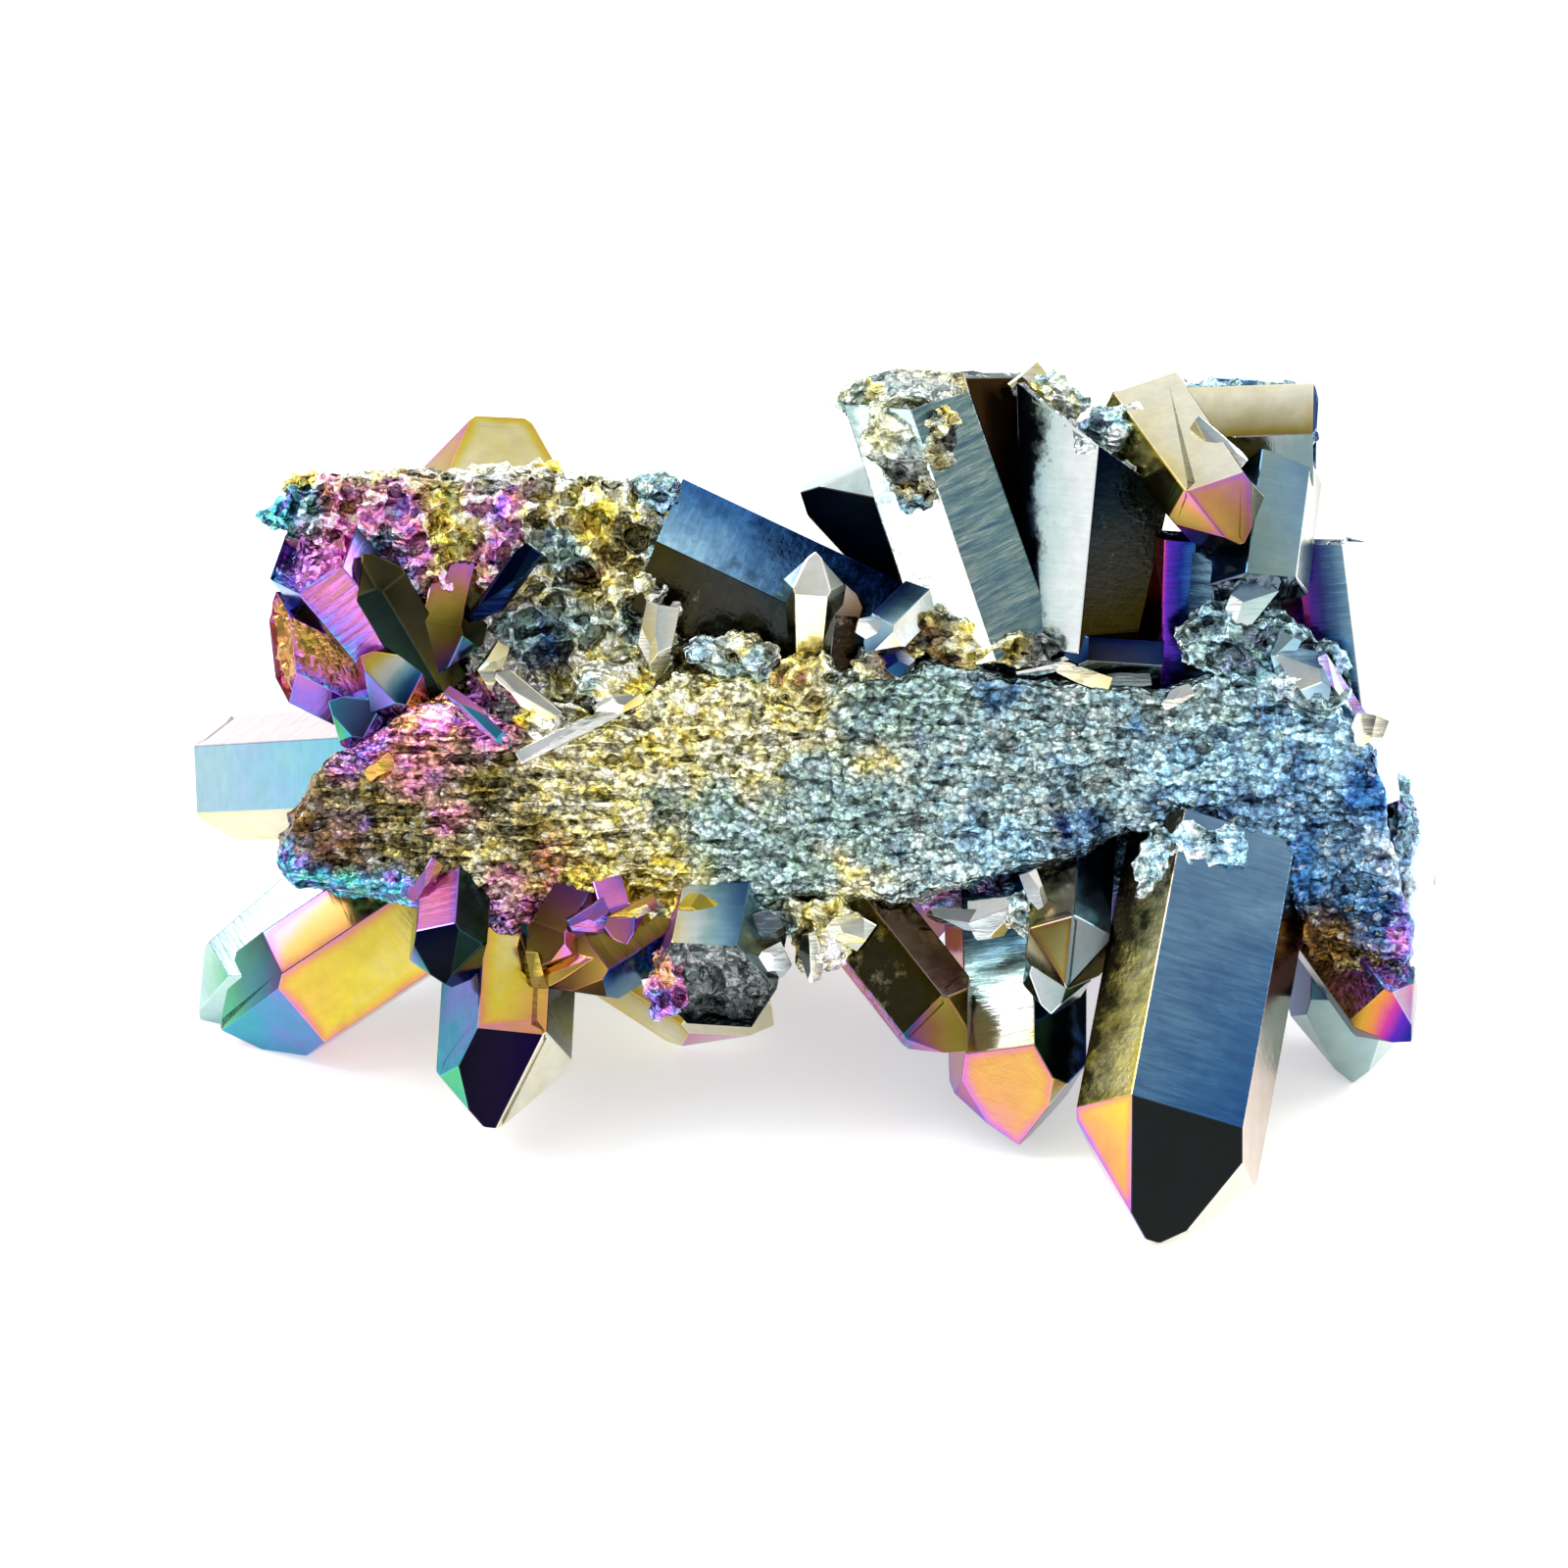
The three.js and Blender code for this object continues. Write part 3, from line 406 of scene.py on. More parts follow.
# Lumps of crumbs on and between the crystals: middle, half sizes and coats.
CRUSTS = (
    ((8, 21.9, 3.9), (3.1, 3, 0.9), "slate grey stone olive straw grey"),
    ((8.3, 18.7, 3.8), (1.4, 1.6, 0.6), "grey slate olive"),
    ((9.6, 22.8, 4.1), (1.4, 1.2, 0.8), "straw grey yellow"),
    ((4.8, 24.7, 1.6), (1.4, 1.3, 1.4), "cream stone straw"),
    ((17.6, 24.6, -1.6), (1.9, 1.6, 1.4), "straw cream yellow stone"),
    ((21.4, 22.6, -0.8), (2.7, 1.6, 1.2), "stone ash mist frost"),
    ((-3, 8.2, 0), (2.8, 1.7, 1.2), "cream stone glacier straw"),
    ((-6.2, 5.8, 0.4), (2.4, 1.6, 1), "yellow cream straw stone"),
    ((1.6, 6.7, 0.8), (2.3, 1.7, 1.2), "straw brown yellow stone"),
    ((11.4, 9.4, 0.6), (3, 2.2, 1), "straw olive brown stone yellow soot"),
    ((14.6, 8.6, 0.8), (2.8, 1.5, 0.9), "olive straw grey soot"),
    ((6.6, 8, 0.4), (2.6, 1.4, 1.1), "brown straw soot grey"),
    ((29.2, 9.2, 0), (4.6, 2.6, 1.3), "stone frost mist slate glacier soot"),
    ((33.4, 6.6, 0), (3.2, 2.2, 1.1), "stone slate ash frost"),
    ((26.6, -3.9, 1.9), (2.9, 1.7, 1.1), "sky mist white sky"),
    ((23.9, -5.6, 1.5), (1.7, 3.2, 1.2), "sky haze mist"),
    ((25.6, -6.2, 2.6), (0.9, 1.5, 0.7), "mist white sky"),
    ((36.2, -9.6, -1.4), (3.2, 2.4, 1.7), "bronze olive brown olive"),
    ((38.6, -12, -1.6), (1.9, 1.9, 1.4), "brown umber dusk"),
    ((27, 24.9, -6.5), (5.8, 1, 2.4), "glacier frost mist frost"),
    ((2.6, -9.6, -0.4), (2.2, 2.5, 1.5), "cream straw olive yellow"),
    ((-0.4, -8.4, -0.6), (2.4, 1.6, 1.2), "straw stone cream"),
    ((15.4, -8.2, 0.2), (1.4, 1.9, 1), "mist glacier cream"),
    ((-8.6, -8.2, -0.6), (2.4, 1.4, 1.1), "yellow straw stone"),
    ((-3.6, -9, 0.2), (3.2, 1.8, 1.2), "stone frost grey slate"),
    ((-18.4, -9, -0.8), (2.6, 1.7, 1.2), "magenta dusk pink purple"),
    ((-21.6, 3.4, -0.2), (3, 1.6, 1.1), "magenta pink orange magenta"),
    ((-14.6, 3.8, 0), (2.8, 1.5, 1), "cream straw yellow"),
    ((-10.4, 6.6, 0), (2.6, 1.5, 1), "cream yellow stone straw"),
    ((39.6, -3.4, -9), (1.3, 4.2, 3.4), "navy steel glacier frost"),
    ((-7.3, -12.9, 1.5), (1.4, 2.3, 0.9), "magenta pink purple orange"),
    ((-8.2, 18.6, -1.8), (1.8, 1.2, 1.4), "stone slate frost"),
    ((-27.6, 19.3, -3.4), (4.6, 0.8, 2.6), "straw pink cream yellow"),
    ((-19, 19.7, -3.4), (5.4, 0.8, 2.6), "cream straw pearl yellow"),
)
# Flat chips: middle, length, width and thickness, turn in the face, lean and coats.
CHIPS = (
    ((-13.6, 3.2, 1), (7.4, 1.1, 0.5), 27, 12, "white cream"),
    ((-16.6, 5.6, 0.8), (5.2, 1.6, 0.6), -38, 20, "cream straw"),
    ((-19.4, 4.2, 0.9), (5.6, 1.2, 0.6), -35, 25, "purple magenta"),
    ((-18.6, 7.6, 0.2), (3, 1.5, 0.6), 60, -20, "cream straw"),
    ((-8.2, 9, 0.2), (2.2, 5, 0.7), -12, 15, "cream ash"),
    ((-6.9, 13.2, -1.2), (1, 4.6, 0.8), -18, 10, "cream pearl"),
    ((-10.6, 5.2, 0.5), (3.4, 1.4, 0.6), 20, 15, "cream amber"),
    ((16.6, 7.4, 0.35), (3.6, 0.9, 0.4), 16, 15, "white cream"),
    ((18.8, 7, 0.5), (4.2, 1.1, 0.4), -20, 15, "cream straw"),
    ((15.4, 8.6, 0.8), (2.6, 0.9, 0.4), 30, 10, "pearl white"),
    ((24.7, -10.7, 5), (0.9, 1.5, 0.6), 10, 10, "snow mist"),
    ((21.2, 6.6, 0.3), (4.4, 1.2, 0.5), 8, 20, "slate grey"),
    ((5.6, 9.9, 2), (2.4, 1.7, 0.8), -30, 20, "white sky"),
    ((7.4, 7.6, 1.4), (1.9, 1.8, 0.9), 20, 20, "navy white"),
    ((29.2, 11.4, 1), (2.4, 4.4, 0.8), -35, 15, "mist snow"),
    ((33.6, 7.2, 1), (2.8, 4.6, 0.7), 38, 12, "mist steel"),
    ((35.4, 6, 0.2), (1.2, 5.6, 0.6), 34, 25, "pearl purple"),
    ((37.2, 3.4, 0.4), (2.2, 2.4, 0.8), -20, 15, "cream grey"),
    ((31.6, 8.2, 1.4), (2.8, 1.4, 0.7), 62, 20, "sky white"),
    ((-15.4, -9.9, 1.6), (3.4, 1.2, 0.6), -30, 20, "dusk purple"),
    ((-13.6, -11.6, 1.5), (4.6, 1.1, 0.6), 27, -15, "orange amber"),
    ((-15.8, -12.2, 1.6), (1.2, 3.4, 0.7), 10, 20, "olive amber"),
    ((-12.2, -8.8, 1.8), (2.8, 2, 0.8), 30, 20, "magenta dusk"),
    ((-9.6, -8, 1.6), (3.2, 1.2, 0.6), 24, 15, "amber cream"),
    ((-5, -8, 1.6), (3, 1.8, 0.9), -40, 20, "amber yellow"),
    ((-1.4, -9.2, 1.6), (2.6, 2.2, 0.9), 25, 20, "slate grey"),
    ((1.8, -11, 0.6), (1.5, 3.2, 0.7), 18, 15, "cream ash"),
    ((4.2, -9.2, 0.8), (2.6, 2.2, 0.8), -35, 15, "cream straw"),
    ((10.6, -8.4, 0.2), (4.2, 1.4, 0.8), -8, 20, "ash mist"),
    ((13.2, -8.6, 0.1), (3.6, 2.6, 0.8), 8, 12, "pearl ash"),
    ((16, -7, 1.4), (1.2, 3, 0.6), 20, 15, "white sky"),
    ((-22.8, -6.2, 1.4), (3, 1, 0.6), 60, 15, "pink magenta"),
    ((-25.6, 0.9, 0.8), (2.2, 1.5, 0.8), 35, 20, "amber orange"),
    ((27.4, 21.4, 1.6), (4.2, 1.8, 0.8), -42, 10, "cream white"),
    ((16.1, 25.3, -2.2), (2.4, 2.6, 1), 38, 12, "cream straw"),
    ((-0.6, -11.2, 2.4), (2.2, 2.6, 0.9), -30, 15, "pearl grey"),
    ((25, 5.6, 0.6), (2.2, 1, 0.5), 30, 10, "white cream"),
    ((-17.7, 12.6, 0.1), (6, 1.7, 0.8), 52, 25, "ink navy"),
)


# ------------------------------------------------------------------ settings
def length(name, default, low, high, description):
    """A length, given in millimetres."""
    return FloatProperty(name=name, description=description, default=default * MM, min=low * MM,
                         max=high * MM, precision=5, subtype="DISTANCE", unit="LENGTH")


def factor(name, default, low, high, description):
    return FloatProperty(name=name, description=description, default=default, min=low, max=high,
                         subtype="FACTOR")


class QuartzSizes(bpy.types.PropertyGroup):
    """Sizes of the fine forms."""

    border: length("Rim width", 0.9, 0, 3, "Width of the border where the film is thicker")
    edge: length("Crystal edge", 0.09, 0.01, 0.5, "Width of the worn edge of a crystal")
    break_step: length("Break step", 0.34, 0.15, 2, "Spacing of the points on a broken end")
    break_height: length("Break height", 1.1, 0, 3, "How deep a broken end is cut by its chips")
    fine_grain: length("Fine mesh", 0.18, 0.12, 1, "Spacing of the points on the broken face")
    coarse_grain: length("Coarse mesh", 0.42, 0.2, 2, "Spacing of the points on the back of the matrix")
    crumb: length("Crumb", 0.42, 0.1, 2, "Size of the smallest grains of the matrix")
    druse: IntProperty(
        name="Druse points", description="Number of small points on the hidden sides", default=110,
        min=1, max=400)


class QuartzLooks(bpy.types.PropertyGroup):
    """Colours and gloss."""

    gloss: factor("Crystal roughness", 0.16, 0.02, 1, "Roughness of a clean crystal face")
    crust_gloss: factor("Matrix roughness", 0.3, 0.02, 1, "Roughness of the broken matrix")
    rim: factor("Rim", 1, 0, 3, "Strength of the change of colour along a crystal's edges")
    floor: FloatVectorProperty(
        name="Floor", description="Colour of the floor", default=(0.9, 0.9, 0.9), min=0, max=1,
        subtype="COLOR")
    sky: FloatProperty(
        name="Room light", description="Brightness of the room", default=1.1, min=0, max=10)
    floor_glow: FloatProperty(
        name="Floor glow", description="How far the floor is lit from below", default=0.5, min=0,
        max=2)


def sizes():
    return bpy.context.scene.quartz_sizes


def looks():
    return bpy.context.scene.quartz_looks


# ------------------------------------------------------------------ helpers
def alone(ob=None):
    """Leaves only this object selected and active."""
    bpy.ops.object.select_all(action="DESELECT")
    if ob is not None:
        ob.select_set(True)
        bpy.context.view_layer.objects.active = ob


def placed(ob):
    """Applies the object's own place, so that it is in its mesh."""
    alone(ob)
    bpy.ops.object.transform_apply(location=True, rotation=True, scale=True)
    return ob


def applied(ob, kind, **values):
    """Adds a modifier with these values and applies it."""
    alone(ob)
    step = ob.modifiers.new(kind.lower(), kind)
    for key, value in values.items():
        setattr(step, key, value)
    bpy.ops.object.modifier_apply(modifier=step.name)


def mode(name):
    bpy.ops.object.mode_set(mode=name)


def selected(action):
    """Selects or deselects the whole mesh in edit mode."""
    bpy.ops.mesh.select_all(action=action)


def cut(point, normal, threshold):
    """Takes off what lies beyond this plane, in edit mode, and closes the cut."""
    selected("SELECT")
    bpy.ops.mesh.bisect(plane_co=point, plane_no=normal, threshold=threshold, use_fill=True,
                        clear_outer=True)


def bevelled(ob, width, segments, degrees):
    """Bevels the edges that turn more than this."""
    applied(ob, "BEVEL", width=width, segments=segments, limit_method="ANGLE",
            angle_limit=math.radians(degrees))


def joined(obs):
    alone(obs[0])
    for ob in obs:
        ob.select_set(True)
    if len(obs) > 1:
        bpy.ops.object.join()
    return bpy.context.object


def stood(ob, name, coating):
    """Moves a finished piece from the frame of the broken face to the part's, and declares it."""
    ob.name = ob.data.name = name
    ob.matrix_world = FACE
    placed(ob)
    ob.data.materials.clear()
    ob.data.materials.append(coating)
    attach(ob, "root")
    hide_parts("quartz_cluster")


# ------------------------------------------------------------------ crystals
def crystal_planes(c):
    """The planes of a crystal as name, normal and a point on it, and its axis."""
    tip, root = Vector(c["tip"]) * MM, Vector(c["root"]) * MM
    axis = (tip - root).normalized()
    facing = (OUT - axis * OUT.dot(axis)).normalized()
    planes = [("root", -axis, root)]
    for i in range(6):
        outwards = Matrix.Rotation(math.radians(c["roll"] + 60 * i), 3, axis) @ facing
        side = (outwards + axis * math.tan(math.radians(c["taper"]))).normalized()
        planes.append((f"f{i}", side, tip + outwards * c["half"][i % 3] * MM))
        if c["lift"]:
            end = outwards * math.cos(POINT_SLOPE) + axis * math.sin(POINT_SLOPE)
            planes.append((f"e{i}", end, tip + end * c["lift"][i] * MM))
    if c["snapped"]:
        planes.append(("snap", Vector(c["snapped"]).normalized(), tip))
    return planes, axis


def face_axes(name, normal, axis):
    """Across and along directions in a face, along being towards the tip."""
    if name in ("root", "snap"):
        along = UP - normal * UP.dot(normal)
        if along.length < 0.05:
            along = -OUT - normal * -OUT.dot(normal)
        along.normalize()
        return along.cross(normal), along
    across = axis.cross(normal)
    across = across.normalized() if across.length > 0.01 else normal.orthogonal().normalized()
    return across, normal.cross(across)


def corner_coats(words, across, along):
    """The four words, given as seen from the front, put in the face's own order."""
    rows = []
    for t in (0, 1):
        for s in (0, 1):
            if abs(along.y) >= abs(along.x):
                top, right = (t - 0.5) * along.y > 0, (s - 0.5) * across.x > 0
            else:
                top, right = (s - 0.5) * across.y > 0, (t - 0.5) * along.x > 0
            rows.append(words[(0 if top else 2) + (1 if right else 0)])
    return rows


def face_coats(c, name, across, along, rng):
    """A face's four coats, its finish and how much thicker its film is along its edges. A face without
    words gets the base coat, a little different at each corner."""
    text, _, finish = c["coats"].get(name, "").partition("/")
    if text:
        words = text.split()
        words *= 4 // len(words)
        usual = film_among(words)
        coats = [(usual if COATS[w][0] is None else COATS[w][0], *COATS[w][1:])
                 for w in corner_coats(words, across, along)]
        rim = sum(RIMS.get(w, 0) for w in words) / 4
    else:
        film, light, pale = film_among([c["base"]]), *COATS[c["base"]][1:]
        shift = rng.uniform(-0.05, 0.05)
        coats = [(film + shift + rng.uniform(-0.05, 0.05), light * rng.uniform(0.55, 1.1), pale)
                 for _ in range(4)]
        rim = RIMS.get(c["base"], 0)
    usual = "polished" if name[0] == "e" else "smooth"
    return coats, FINISHES[finish.strip() or usual], rim * c.get("rims", 1)


def inset_faces(ob, planes):
    """Gives each face a border, where the film is thicker."""
    mesh = ob.data
    mode("EDIT")
    for _, normal, _ in planes:
        live = bmesh.from_edit_mesh(mesh)
        selected("DESELECT")
        # The face that looks the way of the plane, and the largest where there are slivers.
        face = max(live.faces, key=lambda f: f.normal.dot(normal) * 100 + f.calc_area() / MM**2 / 1000)
        girth = sum(e.calc_length() for e in face.edges)
        border = min(sizes().border, 0.55 * face.calc_area() / girth)
        if face.normal.dot(normal) < 0.995 or border < 0.1 * MM:
            continue
        face.select = True
        bmesh.update_edit_mesh(mesh)
        bpy.ops.mesh.inset(thickness=border, use_individual=True)
    mode("OBJECT")


def paint_crystal(ob, c, planes, axis, rng):
    """Gives every face its place map and its coats. Its worn edges are a little lighter."""
    mesh = ob.data
    for key in ("place", "grain"):
        mesh.uv_layers.new(name=key)
    keys = ("film", "light", "pale", "finish", "rim")
    for key in keys:
        mesh.attributes.new(key, "FLOAT_COLOR", "CORNER")
    place, grain = mesh.uv_layers["place"], mesh.uv_layers["grain"]
    layers = {key: mesh.attributes[key] for key in keys}
    owner, edge = [], []
    for poly in mesh.polygons:
        best = max(range(len(planes)), key=lambda k: planes[k][1].dot(poly.normal))
        _, normal, point = planes[best]
        flat = normal.dot(poly.normal) > FLAT and abs((poly.center - point).dot(normal)) < SHORT
        owner.append(best)
        edge.append(not flat)
    rims = {v for p, e in zip(mesh.polygons, edge) if e for v in p.vertices}
    for k, (name, normal, _) in enumerate(planes):
        mine = [p for p, o in zip(mesh.polygons, owner) if o == k]
        if not mine:
            continue
        flats = [p for p in mine if not edge[p.index]] or mine
        across, along = face_axes(name, normal, axis)
        spots = [mesh.vertices[v].co for p in flats for v in p.vertices]
        s0, s1 = min(v.dot(across) for v in spots), max(v.dot(across) for v in spots)
        t0, t1 = min(v.dot(along) for v in spots), max(v.dot(along) for v in spots)
        coats, finish, rim = face_coats(c, name, across, along, rng)
        columns = dict(zip(("film", "light", "pale"), zip(*coats)), finish=finish)
        for p in mine:
            # Painted highlight on the worn edges; the other faces keep their coats' painted reflection
            # and shade.
            painted_light = [v * 1.1 + 0.03 for v in columns["light"]] if edge[p.index] else columns["light"]
            for loop in p.loop_indices:
                vertex = mesh.loops[loop].vertex_index
                co = mesh.vertices[vertex].co
                s, t = co.dot(across), co.dot(along)
                place.data[loop].uv = ((s - s0) / max(s1 - s0, NEAR), (t - t0) / max(t1 - t0, NEAR))
                grain.data[loop].uv = (s / MM, t / MM)
                layers["rim"].data[loop].color = (float(vertex in rims), rim + 0.5, 0, 1)
                for key, values in (columns | {"light": painted_light}).items():
                    layers[key].data[loop].color = values


def roughen(ob, planes, rng):
    """Breaks the snapped end into chips."""
    mesh = ob.data
    normal, point = next((n, p) for name, n, p in planes if name == "snap")
    mode("EDIT")
    selected("DESELECT")
    mode("OBJECT")
    for poly in mesh.polygons:
        poly.select = poly.normal.dot(normal) > 0.9999 and abs((poly.center - point).dot(normal)) < NEAR
    wide = max((p for p in mesh.polygons if p.select), key=lambda p: p.area)
    reach = max((mesh.vertices[v].co - wide.center).length for v in wide.vertices)
    mode("EDIT")
    bpy.ops.mesh.poke()
    bpy.ops.mesh.subdivide(number_cuts=max(2, int(reach / sizes().break_step)), smoothness=0)
    mode("OBJECT")
    chosen = {v for poly in mesh.polygons if poly.select for v in poly.vertices}
    height, seed = sizes().break_height, Vector((rng.uniform(0, 50), rng.uniform(0, 50), 0))
    for index in chosen:
        vertex = mesh.vertices[index]
        at = vertex.co / MM + seed
        # Flat steps, with large and small chips out of them.
        steps = (noise.cell(at * 0.7) * 0.35 + abs(noise.noise(at * 0.45)) * 1.2
                 + abs(noise.noise(at * 1.5)) * 0.4)
        vertex.co -= normal * min(steps * height, reach * 0.8)


def grow(c, rng, small=False):
    """One crystal, cut from a six-sided rod by its planes. A small one has no worn edges."""
    planes, axis = crystal_planes(c)
    tip, root = Vector(c["tip"]) * MM, Vector(c["root"]) * MM
    widest = max(c["half"]) * MM
    alone()
    bpy.ops.mesh.primitive_cylinder_add(
        vertices=6, radius=2.2 * widest, depth=(tip - root).length + 8 * widest,
        location=(tip + root) / 2, rotation=axis.to_track_quat("Z", "Y").to_euler())
    ob = bpy.context.object
    ob.name = c["name"]
    mode("EDIT")
    ground = FACE.inverted()
    cuts = [(n, p) for _, n, p in planes]
    cuts.append((-(ground.to_3x3() @ OUT), ground @ Vector((0, 0, 0))))
    for normal, point in cuts:
        cut(point, normal, 1e-7)
    selected("SELECT")
    bpy.ops.mesh.remove_doubles(threshold=SHORT)
    mode("OBJECT")
    placed(ob)
    if not small:
        bevelled(ob, min(sizes().edge, widest * 0.05), 2, 15)
        inset_faces(ob, planes)
    paint_crystal(ob, c, planes, axis, rng)
    if c["snapped"]:
        roughen(ob, planes, rng)
    bpy.ops.object.shade_flat()
    return ob


def grow_group(name):
    rng = random.Random(name)
    stood(joined([grow(c, rng) for c in GROUPS[name]]), name, crystal_coating())


def hidden(spot, facing):
    """Whether a small point may grow to this place: behind the blocks, on a face that doesn't look
    forward, and inside the solids' box."""
    u, v, w = FACE.inverted() @ spot / MM
    top = max(height_at(SEAM_TOP, u),
              height_at(SHELF_TOP, u) if SHELF_SPAN[0] < u < SHELF_SPAN[1] else -99)
    beside = not SEAM_SPAN[0] < u < SEAM_SPAN[1]
    covered = height_at(SEAM_BOTTOM, u) + COVER < v < top - COVER
    shown = beside or not covered or w > BEHIND
    return not shown and facing.dot(FACE.to_3x3() @ OUT) <= 0.2 and all(
        low < x < high for low, x, high in zip(CAD_BOX[0], spot, CAD_BOX[1]))


def druse_points():
    """Small points over the hidden sides of the matrix: a few kinds, copied with their own meshes."""
    rng = random.Random("druse")
    ground = [(bpy.data.objects[name], poly.index) for name in ("core", "seam_back", "shelf_back")
              for poly in bpy.data.objects[name].data.polygons]
    kinds = [grow(crystal(f"druse_{k}", (0, 2 + 0.5 * k, 0), (0, -1, 0), 0.5 + 0.14 * k, 13 * k, 0,
                          (0, 0.2, 0, 0.3, 0, 0.1), "steel"), rng, small=True) for k in range(4)]
    made = []
    while len(made) < sizes().druse:
        block, index = rng.choice(ground)
        poly = block.data.polygons[index]
        way = (poly.normal + Vector(rng.uniform(-0.5, 0.5) for _ in range(3))).normalized()
        spot = poly.center - way * DRUSE_ROOT * MM
        if not hidden(spot + way * DRUSE_REACH * MM, poly.normal):
            continue
        alone(rng.choice(kinds))
        bpy.ops.object.duplicate(linked=False)
        ob = bpy.context.object
        turn = way.to_track_quat("Y", "Z") @ Quaternion((0, 1, 0), rng.uniform(0, math.tau))
        size = rng.uniform(0.7, 1.5)
        ob.matrix_world = FACE.inverted() @ Matrix.LocRotScale(spot, turn, (size, size, size))
        placed(ob)
        film = rng.choice(DRUSE_FILMS) + rng.uniform(-0.03, 0.03)
        layer = ob.data.attributes["film"]
        for loop in range(len(ob.data.loops)):
            layer.data[loop].color = [film + shift for shift in (0, 0.02, -0.02, 0.04)]
        made.append(ob)
    alone(kinds[0])
    for kind in kinds:
        kind.select_set(True)
    bpy.ops.object.delete()
    return joined(made)


# ------------------------------------------------------------------ matrix
def height_at(line, u):
    return float(np.interp(u, [p[0] for p in line], [p[1] for p in line]))


def outline_box(top, bottom, front, back, corner, columns=60):
    """A box that follows two outlines: a strip of faces across it, drawn out to its depth."""
    alone()
    first, last = top[0][0], top[-1][0]
    bpy.ops.mesh.primitive_grid_add(x_subdivisions=columns, y_subdivisions=1, size=2,
                                    location=(0, 0, back * MM))
    ob = placed(bpy.context.object)
    for vertex in ob.data.vertices:
        u = first + (last - first) * (vertex.co.x + 1) / 2
        v = height_at(top if vertex.co.y > 0 else bottom, u)
        vertex.co = Vector((u, v, back)) * MM
    mode("EDIT")
    selected("SELECT")
    bpy.ops.mesh.extrude_region_move(TRANSFORM_OT_translate={"value": (0, 0, (front - back) * MM)})
    selected("SELECT")
    bpy.ops.mesh.normals_make_consistent(inside=False)
    mode("OBJECT")
    bevelled(ob, corner * MM, 3, 60)
    return ob


def relief(ob, kind, size, strength, middle=0.5, direction="NORMAL", group="", **values):
    """Moves the surface by a texture. Its size and its strength are in millimetres."""
    texture = bpy.data.textures.new(f"{kind.lower()}_relief", kind)
    texture.noise_scale = size * MM
    for key, value in values.items():
        setattr(texture, key, value)
    applied(ob, "DISPLACE", texture=texture, strength=strength * MM, mid_level=middle,
            direction=direction, texture_coords="LOCAL", vertex_group=group)


def waves(ob, *steps):
    """Soft swellings, each as size and height."""
    for size, height in steps:
        relief(ob, "CLOUDS", size, height, noise_depth=1)


def lumps(ob, *steps):
    """Lumps with creases between them, each as size, depth and shape."""
    for size, depth, shape in steps:
        relief(ob, "VORONOI", size, -depth, middle=0.4, distance_metric=shape)


def crumbs(ob, share):
    """The grains of the broken matrix."""
    grain = sizes().crumb / MM
    lumps(ob, (2.2 * grain, 0.4 * share, "DISTANCE"), (grain, 0.26 * share, "DISTANCE"))


def rows(values, key, width, kind=float):
    """What the vertices, edges or normals of a mesh have under this key."""
    flat = np.empty(len(values) * width, dtype=kind)
    values.foreach_get(key, flat)
    return flat.reshape(-1, width)


def smoothed(values, pairs, count, rounds):
    """Averages values over neighbouring vertices."""
    share = np.bincount(pairs.ravel(), minlength=count)[:, None] + 1
    for _ in range(rounds):
        total = values.copy()
        for i in range(values.shape[1]):
            total[:, i] += np.bincount(pairs[:, 0], values[pairs[:, 1], i], count)
            total[:, i] += np.bincount(pairs[:, 1], values[pairs[:, 0], i], count)
        values = total / share
    return values


def paint_matrix(ob, dabs, seed, warp=1, scatter=0.05, gain=1):
    """Colours the matrix from its dabs and marks its hollows. `warp` is how ragged the dabs are,
    `scatter` how far the film varies inside them, and `gain` how bright they are."""
    mesh = ob.data
    count = len(mesh.vertices)
    spots = rows(mesh.vertices, "co", 3) / MM
    pairs = rows(mesh.edges, "vertices", 2, np.int64)
    normals = rows(mesh.vertex_normals, "vector", 3)
    small, large = (((smoothed(spots, pairs, count, rounds) - spots) * normals).sum(1) / deep
                    for rounds, deep in ((5, 0.06), (30, 0.3)))
    hollow = np.clip(small, -1, 1) * 0.5 + np.clip(large, -1, 1) * 0.5
    noise.seed_set(NOISE_SEED)
    shift = np.array([
        (*(noise.noise_vector(p / 1.9 + seed) * 1.6 + noise.noise_vector(p / 0.6 + seed) * 0.6),
         noise.noise(p / 0.9 - seed) + 0.6 * noise.noise(p / 0.35 - seed))
        for p in map(Vector, spots)])
    where = spots[:, :2] + shift[:, :2] * warp
    total, weight = np.zeros((count, 3)), np.zeros(count)
    for u, v, radius, word in dabs:
        away = ((where - (u, v)) ** 2).sum(1) / radius**2
        share = 1 / (away + 0.2) ** 2.2
        # A coat's light is painted reflection and painted shade, as on the crystals.
        film, light, pale = film_among([word]), *COATS[word][1:]
        colour = tint(film + scatter * (1 - pale) * shift[:, 3])
        total += share[:, None] * (colour * (1 - pale) + pale) * light
        weight += share
    total = np.minimum(total / weight[:, None] * gain, 1)
    layer = mesh.attributes.new("tint", "FLOAT_COLOR", "POINT")
    layer.data.foreach_set("color", np.column_stack([total, np.ones(count)]).ravel())
    layer = mesh.attributes.new("hollow", "FLOAT", "POINT")
    layer.data.foreach_set("value", hollow)


def ridges(ob, squeeze=0.12):
    """Long ridges that run along the seam: the relief is made on a shortened copy of its length. They
    fade towards the right."""
    streaked = ob.vertex_groups.new(name="streaked")
    for vertex in ob.data.vertices:
        u = vertex.co.x / MM
        streaked.add([vertex.index], min(1, max(0.25, (4 - u) / 16)), "REPLACE")
    ob.scale = (squeeze, 1, 1)
    placed(ob)
    relief(ob, "CLOUDS", 0.6, 0.8, direction="Z", group="streaked", noise_depth=1)
    ob.scale = (1 / squeeze, 1, 1)
    placed(ob)


